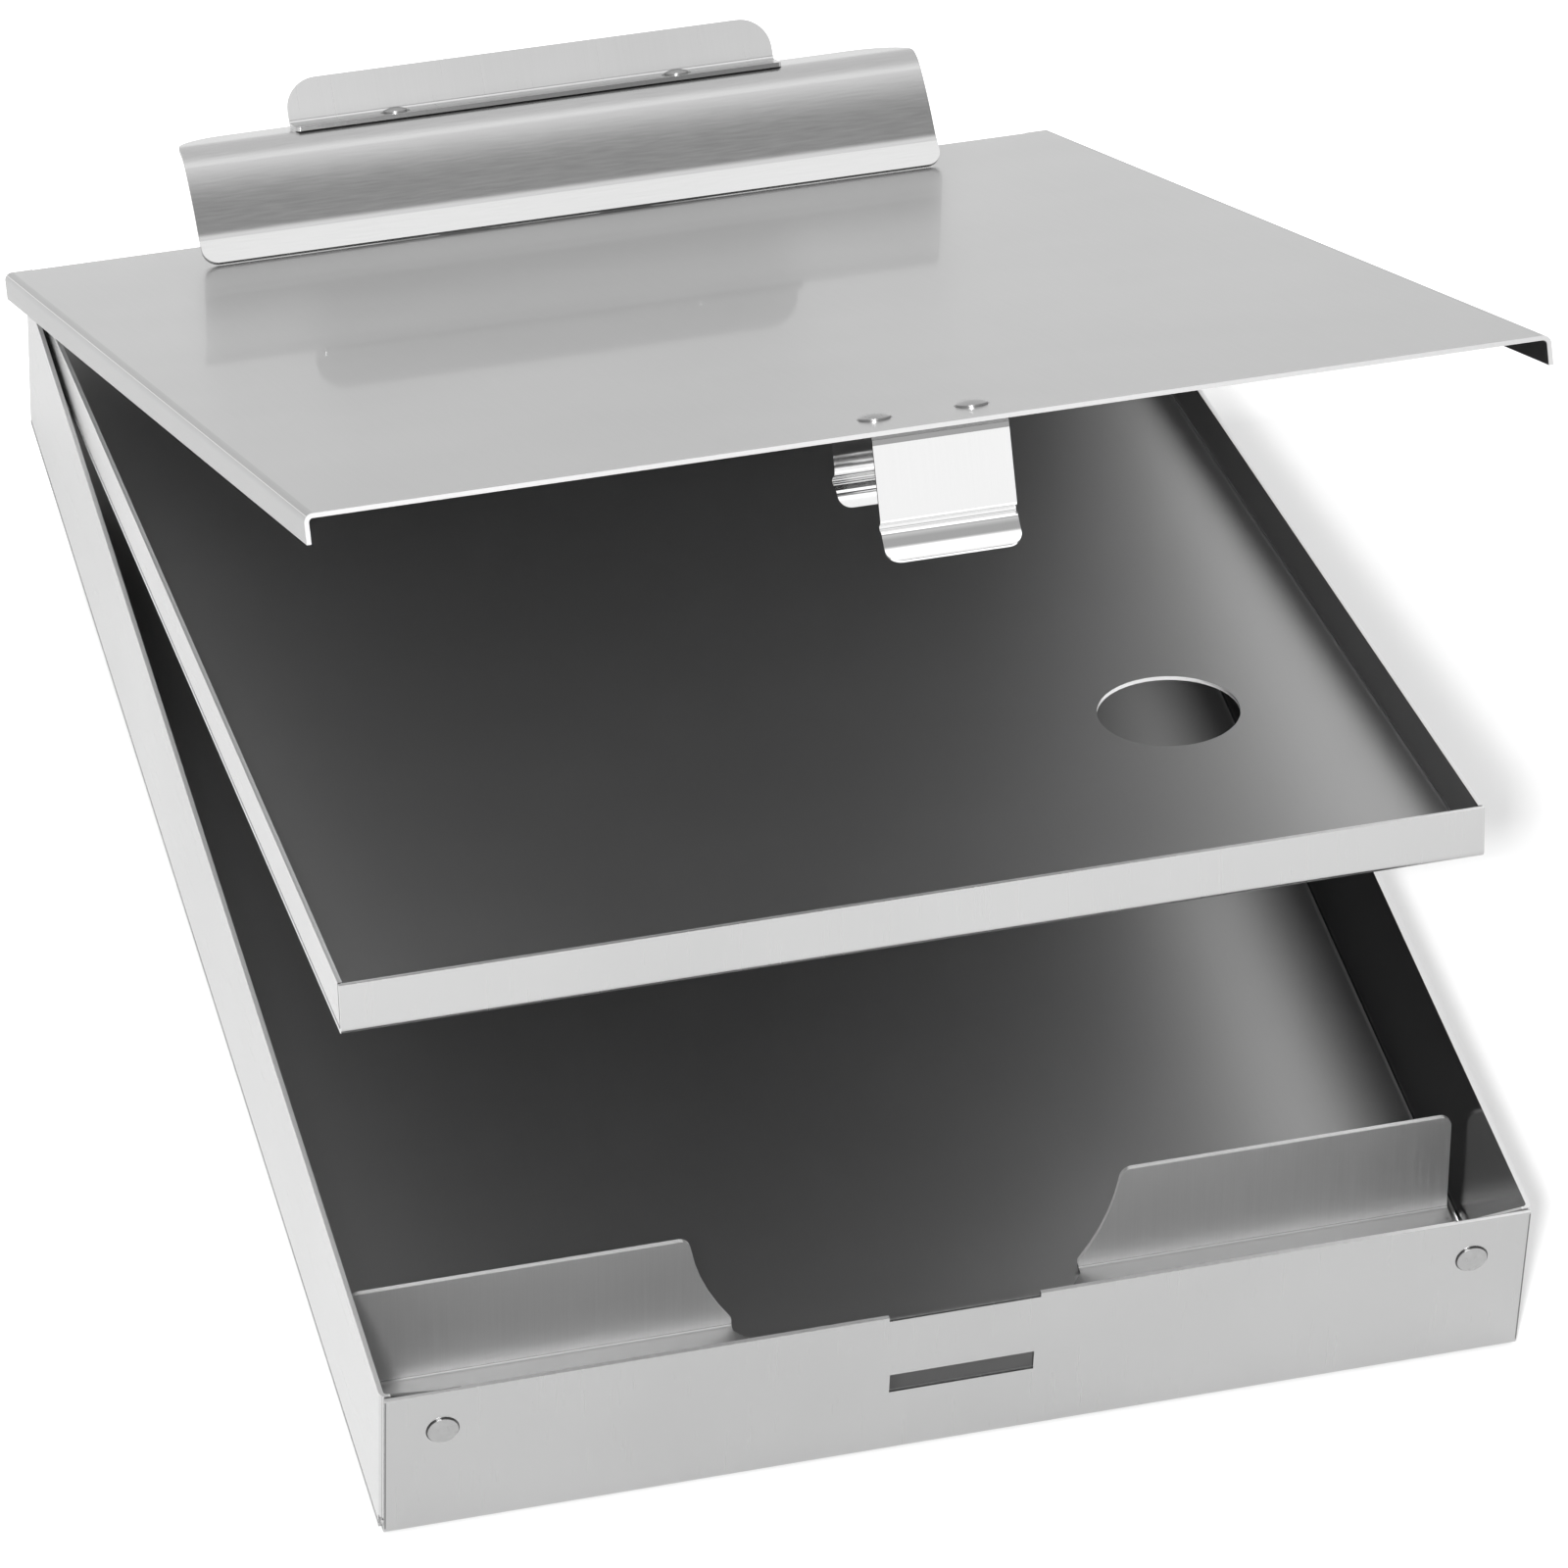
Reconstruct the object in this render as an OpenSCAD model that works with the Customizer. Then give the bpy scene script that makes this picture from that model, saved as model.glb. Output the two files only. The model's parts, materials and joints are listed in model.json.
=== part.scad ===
// Storage clipboard box of folded aluminium sheet: a shallow box, a middle tray and a lid that share
// one hinge at the rear, a paper clip on the lid and a spring latch under the lid's front edge.
// The front is at -Y, the hinge runs along X at the rear, and +Z is up. The origin is the centre of
// the box's underside. Tray and lid are drawn closed and then turned about the hinge.

/* [Box] */
// Width of the box over its side walls
body_w = 235; // [210:1:260]
// Length of the box from front wall to rear wall
body_l = 355; // [310:1:400]
// Height of the side walls
body_h = 37.4; // [36:0.2:44]
// Thickness of the aluminium sheet
sheet_t = 0.9; // [0.8:0.05:1]
// Inside radius of a bend in the sheet
bend_r = 0.8; // [0.6:0.1:1]

/* [Box corners] */
// Length of the flap that each side wall turns behind the end walls
flap_l = 20; // [16:1:30]
// Play between a flap and the wall in front of it
flap_gap = 0.15; // [0.1:0.05:0.3]
// Fall of a front flap's top edge over its length
flap_fall = 2.4; // [1:0.2:5]
// Height of the relief notch at the foot of each corner
relief_h = 3.5; // [3:0.5:6]
// Distance of the end walls' edges from the side walls' faces
edge_inset = 0.6; // [0.3:0.1:0.8]

/* [Latch slot] */
// Width of the slot in the front wall
slot_w = 29.6; // [28:0.2:34]
// Height of the slot
slot_h = 4.8; // [4.6:0.1:6]
// Height of the slot's centre above the underside
slot_z = 19; // [18:0.2:20]
// Width of the notch in the front wall's top edge
notch_w = 30.9; // [29:0.1:36]
// Depth of the notch
notch_d = 1; // [0.8:0.1:1.5]

/* [Paper stop] */
// Distance of the fold from the front wall's face
stop_back = 39.5; // [38:0.5:44]
// Lean of the tabs towards the rear
stop_lean = 6; // [2:1:8]
// Distance of the tabs' ends from the box's side
stop_side = 2.6; // [2.4:0.1:5]
// Radius of the finger cut-out in the flat strip
cut_r = 45.3; // [35:0.1:55]
// Distance of the cut-out's centre from the fold
cut_rise = 27; // [20:0.5:30]
// Radius of the tabs' corners
tab_r = 2.5; // [1:0.5:5]

/* [Middle tray] */
// Play between the tray and each side wall
tray_gap = 0.8; // [0.5:0.1:1.5]
// Distance of the tray's front from the box's front face
tray_front = 36; // [35.5:0.5:38]
// Distance of the tray's rear from the box's rear face
tray_back = 4; // [3.5:0.25:5]
// Height of the tray's underside when it is closed
tray_level = 25.5; // [24.5:0.25:26]
// Height of the tray's walls
tray_wall = 11.4; // [10:0.1:11.6]
// Diameter of the finger hole
hole_d = 29.4; // [20:0.2:35]
// Distance of the hole's centre from the tray's right side
hole_side = 42.6; // [35:0.2:60]
// Distance of the hole's centre from the tray's front
hole_front = 74.5; // [50:0.5:120]
// Angle by which the tray stands open
tray_open_angle = 12.6; // [5:0.1:30]

/* [Lid] */
// Overhang of the lid over each side wall
lid_side = 3.5; // [2.5:0.1:4]
// Overhang of the lid over the front wall
lid_front = 3; // [2.8:0.1:5]
// Height of the lid's side flanges
lid_flange = 5.8; // [5:0.1:6]
// Play between the walls' top edges and the closed lid
lid_gap = 0.3; // [0.3:0.05:0.5]
// Distance of the turned-down rear edge's ends from the lid's sides
lid_step = 6.3; // [5:0.1:10]
// Angle by which the lid stands open
lid_open_angle = 30.7; // [20:0.5:60]

/* [Hinge] */
// Radius of the hinge pin
pin_r = 1.15; // [1:0.05:1.3]
// Running clearance of a pin in its knuckles
pin_fit = 0.05; // [0.02:0.01:0.1]
// Depth of the hinge axis below the walls' top edges
hinge_drop = 4.7; // [4.6:0.1:5.2]
// Distance of the first knuckle from the box's side
hinge_side = 6.5; // [5:0.5:12]
// Number of knuckles
knuckle_count = 13; // [7:6:19]
// Play between neighbouring knuckles, and between moving edges
knuckle_gap = 0.4; // [0.3:0.05:0.6]

/* [Latch] */
// Width of the latch strip
latch_w = 26.6; // [22:0.2:27]
// Sideways place of the latch on the lid
latch_shift = 1.2; // [-1.2:0.1:1.2]
// Thickness of the latch strip
latch_t = 0.5; // [0.4:0.05:0.6]
// Play between the latch's front leg and the front wall
latch_play = 0.3; // [0.2:0.05:0.5]
// Outside radius of the strip's two top bends
latch_bend = 1.5; // [1.2:0.1:2]
// Distance of the rear leg's face from the tray's front wall
catch_play = 2.6; // [2.2:0.1:3]
// Distance of the rear leg's ridge below the tray's underside
catch_drop = 2; // [1.6:0.1:2.6]
// Depth of the ridge that snaps into the slot
ridge_d = 1.4; // [1.3:0.1:1.8]
// Distance of the rivets behind the front wall's face
latch_rivet_back = 11.6; // [10:0.2:20]
// Distance between the two latch rivets
latch_rivet_span = 19; // [16:0.5:19]
// Flare of the thumb lip
lip_flare = 35; // [20:1:50]
// Length of the thumb lip
lip_l = 5.8; // [3:0.1:7]

/* [Clip] */
// Width of the jaw
jaw_w = 168; // [130:1:200]
// Thickness of the jaw, lever and clip base
clip_t = 1; // [0.8:0.05:1.2]
// Height of the jaw's top above the lid
jaw_h = 24.7; // [23.5:0.1:27]
// Depth of the jaw from its lip to its rear face
jaw_deep = 31.4; // [30:0.2:36]
// Radius of the jaw's front curve
jaw_r = 9; // [7:0.2:10]
// Lean of the jaw's web
web_lean = 28; // [20:1:30]
// Lean of the jaw's lip
lip_lean = 36; // [32:1:45]
// Height of the lip's crease above the lid
crease_h = 5.4; // [4:0.2:7]
// Distance of the jaw's rear face from the lid's rear edge
clip_inset = 3.3; // [2:0.1:15]
// Sideways place of the clip on the lid
clip_shift = 0.7; // [-3:0.1:3]
// Sideways place of the jaw's plate on the clip
jaw_shift = 1.9; // [-3:0.1:3]
// Height of the clip's axis above the lid
clip_axis_h = 8; // [7.5:0.1:9]
// Radius of the clip rod
rod_r = 1.5; // [1.2:0.05:1.8]
// Width of the lever
lever_w = 111; // [80:0.2:140]
// Height of the lever above the jaw's top
lever_h = 10.3; // [8:0.1:16]
// Lean of the lever towards the rear
lever_lean = 15; // [0:1:30]
// Distance of the lever's rivets from the jaw's rear face
lever_back = 9.8; // [9:0.1:11]
// Distance between the two lever rivets
lever_rivet_span = 64.4; // [40:0.2:80]

/* [Rivets] */
// Radius of the rivets' shanks
shank_r = 1.5; // [1.2:0.1:1.7]
// Radius of the heads on the front wall and the lid
head_r = 3.1; // [2.6:0.1:3.5]
// Height of the heads
head_h = 1; // [0.8:0.1:1.2]
// Distance of the corner rivets from the box's side
rivet_side = 12.2; // [11:0.2:15]
// Height of the corner rivets above the underside
rivet_z = 27.1; // [12:0.2:27.2]

/* [Hidden] */
$fn = 48;

// Overrun of every cut past the faces that it opens
over = sheet_t;
// Clearance between flat pieces that only rest on each other
rest_gap = lid_gap;
// Angle of one facet in a bent strip
facet_a = 6;

// Box
front_y = -body_l / 2;
rear_y = body_l / 2;
side_x = body_w / 2;
bend_out = bend_r + sheet_t;
flap_front = sheet_t + flap_gap;

// Hinge
barrel_r = pin_r + pin_fit + sheet_t;
hinge_y = rear_y - sheet_t + barrel_r;
hinge_z = body_h - hinge_drop;
hinge_half = side_x - hinge_side;
knuckle_pitch = 2 * hinge_half / knuckle_count;
rear_wall_h = hinge_z - barrel_r - knuckle_gap;
BASE = 0;
LID = 1;
TRAY = 2;

// Middle tray, closed
tray_w = body_w - 2 * sheet_t - 2 * tray_gap;
tray_y0 = front_y + tray_front;
tray_y1 = rear_y - tray_back;
tray_l = tray_y1 - tray_y0;
tray_slit = sheet_t / 2;
leaf_top = hinge_z + barrel_r;
leaf_end = rear_y - sheet_t - knuckle_gap;

// Lid, closed
lid_under = body_h + lid_gap;
lid_top = lid_under + sheet_t;
lid_w = body_w + 2 * lid_side;
lid_y0 = front_y - lid_front;
lid_y1 = hinge_y + barrel_r;
lid_corner_y = lid_y1 - sheet_t;
lid_edge_half = lid_w / 2 - lid_step;

// Latch, closed with the lid
latch_y0 = front_y - latch_play - latch_t;
latch_y1 = tray_y0 - catch_play;
latch_hub_z = lid_under - latch_bend;
latch_mid = latch_bend - latch_t / 2;
latch_split = latch_t;
latch_rivet_y = front_y + latch_rivet_back;
ridge_ramp = 65;
ridge_bend = 1.6 * latch_t;
rear_ridge_d = catch_play + latch_t;
rear_tail = 5.2 * latch_t;
leg_corner_r = 6 * latch_t;
front_leg_l = latch_hub_z - slot_z - slot_h / 2;
rear_leg_l = latch_hub_z - tray_level + catch_drop - ridge_span(rear_ridge_d) / 2;
function ridge_flank(d) = (d - 2 * ridge_bend * (1 - cos(ridge_ramp))) / sin(ridge_ramp);
function ridge_span(d) = 4 * ridge_bend * sin(ridge_ramp) + 2 * ridge_flank(d) * cos(ridge_ramp);

// Clip, closed with the lid
clip_rear = lid_y1 - clip_inset;
knuckle_r = rod_r + pin_fit + clip_t;
axis_y = clip_rear - knuckle_r;
axis_z = lid_top + clip_axis_h;
jaw_rear_r = 2.5 * clip_t;
jaw_plan_r = 12 * clip_t;
crease_r = 1.5 * clip_t;
jaw_corner_r = 3.5 * clip_t;
spring_half = 12 * clip_t;
clip_knuckle_l = 12 * clip_t;
base_half = spring_half + knuckle_gap + clip_knuckle_l;
rod_half = base_half + knuckle_gap + clip_knuckle_l;
base_l = 18 * clip_t;
base_bend = 1.5 * clip_t;
base_front = axis_y - knuckle_r - base_l;
base_rivet_x = base_half - 6 * clip_t;
base_rivet_y = base_front + base_l / 2;
lever_bend = 1.5 * clip_t;
lever_corner_r = 7 * clip_t;
lever_flange = 7 * clip_t;
lever_rivet_y = clip_rear - lever_back;

// Clip spring
wire_share = 0.6;
coil_gap_share = 0.45;
wire_r = wire_share * clip_t;
coil_gap = coil_gap_share * clip_t;
coil_r = rod_r + coil_gap / 2 + wire_r;
coil_turns = 12;
coil_steps = 8;
coil_sides = 6;
coil_pitch = 2 * wire_r + coil_gap;
leg_lean = 6;
leg_down = 6.2 * clip_t;

// Rivets
shank_fit = pin_fit;
small_head_share = 0.85;
tail_r_share = 0.75;
tail_h_share = 0.7;
small_head_r = head_r * small_head_share;
tail_r = head_r * tail_r_share;
tail_h = head_h * tail_h_share;

function turn_count(a) = max(1, ceil(abs(a) / facet_a));
function step_dir(h) = [cos(h), sin(h)];
function arc_point(p, h, a, r) =
    let (s = a < 0 ? -1 : 1, c = p + s * r * step_dir(h + 90))
    c - s * r * step_dir(h + a + 90);
// Points of an arc about c from one angle to another
function arc(c, r, a0, a1) =
    let (n = turn_count(a1 - a0))
    [for (k = [0 : n]) c + r * step_dir(a0 + (a1 - a0) * k / n)];
// A point and its heading for each end of a facet, along steps of [straight length, turn, radius]
function walk(steps, p, h, i = 0) =
    i == len(steps)
    ? []
    : let (
        q = p + steps[i][0] * step_dir(h),
        a = steps[i][1],
        r = steps[i][2],
        n = turn_count(a),
        bend = a == 0 ? [] : [for (k = [1 : n]) [arc_point(q, h, a * k / n, r), h + a * k / n]],
        last = a == 0 ? q : arc_point(q, h, a, r)
    )
    concat([[q, h]], bend, walk(steps, last, h + a, i + 1));
function strip_outline(steps, p, h, t) =
    let (path = concat([[p, h]], walk(steps, p, h)))
    concat(
        [for (k = path) k[0] + t / 2 * step_dir(k[1] + 90)],
        [for (i = [len(path) - 1 : -1 : 0]) path[i][0] - t / 2 * step_dir(path[i][1] + 90)]
    );

// A strip of sheet bent along steps in the YZ plane and centred on x, w wide
module bent_strip(steps, p, h, t, w) {
    rotate([90, 0, 90])
        translate([0, 0, -w / 2])
            linear_extrude(w)
                polygon(strip_outline(steps, p, h, t));
}

// A block between two corners
module block(a, b) {
    translate(a)
        cube(b - a);
}

// A cylinder along X between two places
module bar_x(x0, x1, r, y, z) {
    translate([x0, y, z])
        rotate([0, 90, 0])
            cylinder(h = x1 - x0, r = r);
}

// Outline of a channel's outside: w wide, h high, with round corners of radius r at the foot
module channel_outline(w, h, r) {
    translate([-w / 2, r])
        square([w, h - r]);
    translate([-w / 2 + r, 0])
        square([w - 2 * r, h]);
    for (s = [-1, 1])
        translate([s * (w / 2 - r), r])
            circle(r = r);
}

// Outline of a channel of sheet, open at the top
module channel_section(w, h) {
    difference() {
        channel_outline(w, h, bend_out);
        translate([0, sheet_t])
            channel_outline(w - 2 * sheet_t, h + over, bend_r);
    }
}

// A channel along Y from y0 to y1
module channel_y(w, h, y0, y1) {
    translate([0, y1, 0])
        rotate([90, 0, 0])
            linear_extrude(y1 - y0)
                channel_section(w, h);
}

// A channel along X, l long across the channel, w wide
module channel_x(l, h, w) {
    translate([-w / 2, 0, 0])
        rotate([90, 0, 90])
            linear_extrude(w)
                channel_section(l, h);
}

// A quarter of a bend with its axis along Z, from the +X side round to the +Y side
module quarter_bend(h) {
    intersection() {
        difference() {
            cylinder(h = h, r = bend_out);
            translate([0, 0, -over])
                cylinder(h = h + 2 * over, r = bend_r);
        }
        cube([bend_out, bend_out, h]);
    }
}

// Turns what is drawn closed about the hinge by an angle
module opened(angle) {
    translate([0, hinge_y, hinge_z])
        rotate([-angle, 0, 0])
            translate([0, -hinge_y, -hinge_z])
                children();
}

// Owner of a knuckle: the order is the same from both ends
function knuckle_owner(i) = min(i, knuckle_count - 1 - i) % 3;
function knuckle_x(i) = -hinge_half + i * knuckle_pitch;

// Draws its children's span for each knuckle of one owner: x0 and x1 are passed in $x0 and $x1
module each_knuckle(owner) {
    for (i = [0 : knuckle_count - 1])
        if (knuckle_owner(i) == owner) {
            $x0 = knuckle_x(i) + knuckle_gap / 2;
            $x1 = knuckle_x(i + 1) - knuckle_gap / 2;
            children();
        }
}

// The hinge pin's hole through every knuckle
module pin_hole() {
    bar_x(-side_x, side_x, pin_r + pin_fit, hinge_y, hinge_z);
}

// A rivet along -Z: a domed head above z = 0, its shank through grip and a set tail below
module rivet(grip, r) {
    dome_r = (r * r + head_h * head_h) / (2 * head_h);
    intersection() {
        translate([0, 0, head_h - dome_r])
            sphere(r = dome_r);
        cylinder(h = head_h, r = r);
    }
    translate([0, 0, -grip])
        cylinder(h = grip, r = shank_r);
    translate([0, 0, -grip - tail_h])
        cylinder(h = tail_h, r = tail_r);
}

// The hole for a rivet's shank, through everything between z = 0 and -depth
module shank_hole(depth) {
    translate([0, 0, -depth - over])
        cylinder(h = depth + 2 * over, r = shank_r + shank_fit);
}

// Places children at the two corner rivets of an end wall, heads outwards: s is -1 front, 1 rear
module at_corner_rivets(s) {
    for (m = [-1, 1])
        translate([m * (side_x - rivet_side), s * body_l / 2, rivet_z])
            rotate([-s * 90, 0, 0])
                children();
}

// One side wall's flap behind an end wall: s is -1 front, 1 rear, m is the side
module corner_flap(s, m, top) {
    mirror([m < 0 ? 1 : 0, 0, 0])
        mirror([0, s < 0 ? 1 : 0, 0])
            translate([side_x - bend_out, body_l / 2 - flap_front - bend_out, relief_h]) {
                quarter_bend(top - relief_h);
                translate([-flap_l, bend_r, 0])
                    cube([flap_l, sheet_t, top - relief_h]);
            }
}

// The wedge that slopes a front flap's top edge
module flap_slope(m) {
    mirror([m < 0 ? 1 : 0, 0, 0])
        translate([side_x - bend_out - flap_l - over, front_y + flap_front - flap_gap / 2, 0])
            rotate([90, 0, 0])
                mirror([0, 0, 1])
                    linear_extrude(sheet_t + flap_gap)
                        polygon([
                            [0, body_h - flap_fall],
                            [flap_l + over, body_h],
                            [flap_l + over, body_h + over],
                            [0, body_h + over]
                        ]);
}

// The box's folded sheet before its openings are cut
module box_sheet() {
    difference() {
        channel_x(body_l, body_h, body_w);
        for (s = [-1, 1], m = [-1, 1])
            mirror([m < 0 ? 1 : 0, 0, 0])
                mirror([0, s < 0 ? 1 : 0, 0])
                    block(
                        [side_x - edge_inset, rear_y - flap_front - bend_out, -over],
                        [side_x + over, rear_y + over, body_h + over]
                    );
        block(
            [-side_x - over, rear_y - sheet_t - over, rear_wall_h],
            [side_x + over, rear_y + over, body_h + over]
        );
    }
    channel_y(body_w, body_h, front_y + flap_front + bend_out, rear_y - flap_front - bend_out);
    for (m = [-1, 1]) {
        difference() {
            corner_flap(-1, m, body_h);
            flap_slope(m);
        }
        corner_flap(1, m, rear_wall_h);
    }
    each_knuckle(BASE) {
        block([$x0, rear_y - sheet_t, rear_wall_h - over], [$x1, rear_y, hinge_z]);
        bar_x($x0, $x1, barrel_r, hinge_y, hinge_z);
    }
}

module base_box() {
    color([0.80, 0.80, 0.80])
        difference() {
            box_sheet();
            pin_hole();
            block(
                [-slot_w / 2, front_y - over, slot_z - slot_h / 2],
                [slot_w / 2, front_y + sheet_t + over, slot_z + slot_h / 2]
            );
            block(
                [-notch_w / 2, front_y - over, body_h - notch_d],
                [notch_w / 2, front_y + sheet_t + over, body_h + over]
            );
            for (s = [-1, 1])
                at_corner_rivets(s)
                    shank_hole(flap_front + sheet_t);
        }
}

module corner_rivets(s) {
    color([0.78, 0.78, 0.78])
        at_corner_rivets(s)
            rivet(flap_front + sheet_t, head_r);
}

module front_corner_rivets() {
    corner_rivets(-1);
}

module rear_corner_rivets() {
    corner_rivets(1);
}

// Paper stop: a ledge on the box's floor and two tabs up to just below the closed tray
stop_half = side_x - stop_side;
stop_y = front_y + stop_back;
ledge_y0 = front_y + flap_front + sheet_t + bend_out;
ledge_z = 2 * sheet_t;
fold_y = stop_y - bend_r;
fold_r = bend_r + sheet_t / 2;
fold_turn = 90 - stop_lean;
tab_foot_y = fold_y + fold_r * cos(stop_lean);
tab_foot_z = ledge_z + bend_r - fold_r * sin(stop_lean);
tab_l = (tray_level - rest_gap - tab_foot_z - sheet_t / 2 * sin(stop_lean)) / cos(stop_lean);
// Straight run of the finger cut's edge on each side of the fold
fold_run = sheet_t;
cut_half = sqrt(cut_r * cut_r - cut_rise * cut_rise);
cut_a = -asin(cut_rise / cut_r);
tab_round_v = tab_l - tab_r;
tab_round_x = sqrt(pow(cut_r + tab_r, 2) - pow(tab_round_v - cut_rise - fold_run, 2));
tab_round_a = asin((tab_round_v - cut_rise - fold_run) / (cut_r + tab_r));

// Outline of the ledge with its round finger cut: the fold is at y = 0
module ledge_outline() {
    polygon(concat(
        [[-stop_half, 0], [-stop_half, ledge_y0 - fold_y]],
        [[stop_half, ledge_y0 - fold_y], [stop_half, 0], [cut_half, 0]],
        arc([0, cut_rise - fold_run], cut_r, cut_a, -180 - cut_a),
        [[-cut_half, 0]]
    ));
}

// Outline of the right tab with its part of the finger cut and two round corners
module tab_outline() {
    polygon(concat(
        [[cut_half, 0]],
        arc([0, cut_rise + fold_run], cut_r, cut_a, tab_round_a),
        arc([tab_round_x, tab_round_v], tab_r, 180 + tab_round_a, 90),
        arc([stop_half - tab_r, tab_round_v], tab_r, 90, 0),
        [[stop_half, 0]]
    ));
}

module paper_stop() {
    color([0.62, 0.62, 0.62]) {
        translate([0, fold_y, ledge_z - sheet_t])
            linear_extrude(sheet_t)
                ledge_outline();
        for (m = [0, 1])
            mirror([m, 0, 0]) {
                translate([(stop_half + cut_half) / 2, 0, 0])
                    bent_strip(
                        [[fold_run, fold_turn, fold_r], [fold_run, 0, 0]],
                        [fold_y - fold_run, ledge_z - sheet_t / 2], 0, sheet_t,
                        stop_half - cut_half
                    );
                translate([0, tab_foot_y, tab_foot_z])
                    rotate([fold_turn, 0, 0])
                        translate([0, 0, -sheet_t / 2])
                            linear_extrude(sheet_t)
                                tab_outline();
            }
    }
}

// What a round corner of radius r takes off a square one at the origin, which lies along +X and +Y
module corner_outline(r) {
    difference() {
        translate([-over, -over])
            square(r + over);
        translate([r, r])
            circle(r = r);
    }
}

module corner_cut(r, h) {
    linear_extrude(h)
        corner_outline(r);
}

module hinge_pin() {
    color([0.55, 0.55, 0.56])
        bar_x(-hinge_half, hinge_half, pin_r, hinge_y, hinge_z);
}

// The tray's rear wall turns over into a leaf whose tabs end in knuckles
module tray_leaf() {
    hub_y = tray_y1 + bend_r;
    hub_z = leaf_top - bend_out;
    module leaf(x0, x1, y1) {
        block([x0, hub_y, leaf_top - sheet_t], [x1, y1, leaf_top]);
        translate([x0, hub_y, hub_z])
            rotate([0, 90, 0])
                mirror([0, 1, 0])
                    mirror([1, 0, 0])
                        quarter_bend(x1 - x0);
        block([x0, tray_y1 - sheet_t, tray_level + bend_out], [x1, tray_y1, hub_z]);
    }
    leaf(-hinge_half, hinge_half, leaf_end);
    each_knuckle(TRAY) {
        leaf($x0, $x1, hinge_y);
        bar_x($x0, $x1, barrel_r, hinge_y, hinge_z);
    }
}

module middle_tray() {
    color([0.72, 0.72, 0.72])
        opened(tray_open_angle)
            difference() {
                union() {
                    translate([0, 0, tray_level]) {
                        difference() {
                            translate([0, (tray_y0 + tray_y1) / 2, 0])
                                channel_x(tray_l, tray_wall, tray_w);
                            block(
                                [-tray_w / 2 - over, tray_y1 - sheet_t - over, bend_out],
                                [tray_w / 2 + over, tray_y1 + over, tray_wall + over]
                            );
                        }
                        channel_y(
                            tray_w, tray_wall, tray_y0 + sheet_t + tray_slit,
                            tray_y1 - sheet_t - tray_slit
                        );
                    }
                    tray_leaf();
                }
                pin_hole();
                translate([tray_w / 2 - hole_side, tray_y0 + hole_front, tray_level - over])
                    cylinder(h = sheet_t + 2 * over, d = hole_d);
            }
}

module lid_plate() {
    color([0.78, 0.78, 0.78])
        opened(lid_open_angle)
            difference() {
                union() {
                    // plate and side flanges
                    difference() {
                        translate([0, 0, lid_top])
                            mirror([0, 0, 1])
                                channel_y(lid_w, lid_flange, lid_y0, lid_corner_y);
                        block(
                            [-lid_edge_half, lid_y1 - bend_out, lid_under - over],
                            [lid_edge_half, lid_corner_y + over, lid_top + over]
                        );
                    }
                    // turned-down rear edge
                    translate([-lid_edge_half, lid_y1 - bend_out, lid_top - bend_out])
                        rotate([0, 90, 0])
                            mirror([1, 0, 0])
                                quarter_bend(2 * lid_edge_half);
                    block(
                        [-lid_edge_half, lid_y1 - sheet_t, leaf_top + knuckle_gap],
                        [lid_edge_half, lid_y1, lid_top - bend_out]
                    );
                    each_knuckle(LID) {
                        block(
                            [$x0, lid_y1 - sheet_t, hinge_z],
                            [$x1, lid_y1, lid_top - bend_out]
                        );
                        bar_x($x0, $x1, barrel_r, hinge_y, hinge_z);
                    }
                }
                pin_hole();
                at_latch_rivets()
                    shank_hole(sheet_t);
                at_base_rivets()
                    shank_hole(clip_t + sheet_t);
            }
}

// Places children at the latch rivets on the closed lid
module at_latch_rivets() {
    for (s = [-1, 1])
        translate([latch_shift + s * latch_rivet_span / 2, latch_rivet_y, lid_top])
            children();
}

module latch_web() {
    color([0.86, 0.86, 0.86])
        opened(lid_open_angle)
            difference() {
                block(
                    [latch_shift - latch_w / 2, latch_y0 + latch_bend + latch_split, lid_under - latch_t],
                    [latch_shift + latch_w / 2, latch_y1 - latch_bend - latch_split, lid_under]
                );
                at_latch_rivets()
                    shank_hole(sheet_t + latch_t);
            }
}

// Steps of a latch leg: straight down, a ridge of depth d towards +Y (or -Y when side is -1), a tail
function leg_steps(down, d, side, flare, tail) = [
    [down, side * ridge_ramp, ridge_bend],
    [ridge_flank(d), -2 * side * ridge_ramp, ridge_bend],
    [ridge_flank(d), side * ridge_ramp - flare, ridge_bend],
    [tail, 0, 0]
];

// A leg of the latch: it hangs from its bend, whose centre is the origin, on the bend's -Y side
module latch_leg(steps, flare) {
    path = walk(steps, [-latch_mid, 0], -90);
    end_z = path[len(path) - 1][0][1] - latch_t / 2 * sin(flare);
    difference() {
        union() {
            bent_strip(steps, [-latch_mid, 0], -90, latch_t, latch_w);
            bent_strip([[0, -90, latch_mid]], [-latch_mid, 0], 90, latch_t, latch_w);
        }
        for (s = [-1, 1])
            translate([s * latch_w / 2, latch_w, end_z])
                rotate([90, 0, 0])
                    rotate([0, 0, s > 0 ? 90 : 0])
                        corner_cut(leg_corner_r, 2 * latch_w);
    }
}

module latch_front_leg() {
    color([0.88, 0.88, 0.88])
        opened(lid_open_angle)
            translate([latch_shift, latch_y0 + latch_bend, latch_hub_z])
                latch_leg(leg_steps(front_leg_l, ridge_d, 1, lip_flare, lip_l), lip_flare);
}

module latch_rear_leg() {
    color([0.86, 0.86, 0.86])
        opened(lid_open_angle)
            translate([latch_shift, latch_y1 - latch_bend, latch_hub_z])
                mirror([0, 1, 0])
                    latch_leg(leg_steps(rear_leg_l, rear_ridge_d, -1, 0, rear_tail), 0);
}

module latch_rivets() {
    color([0.80, 0.80, 0.80])
        opened(lid_open_angle)
            at_latch_rivets()
                rivet(sheet_t + latch_t, head_r);
}

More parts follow.
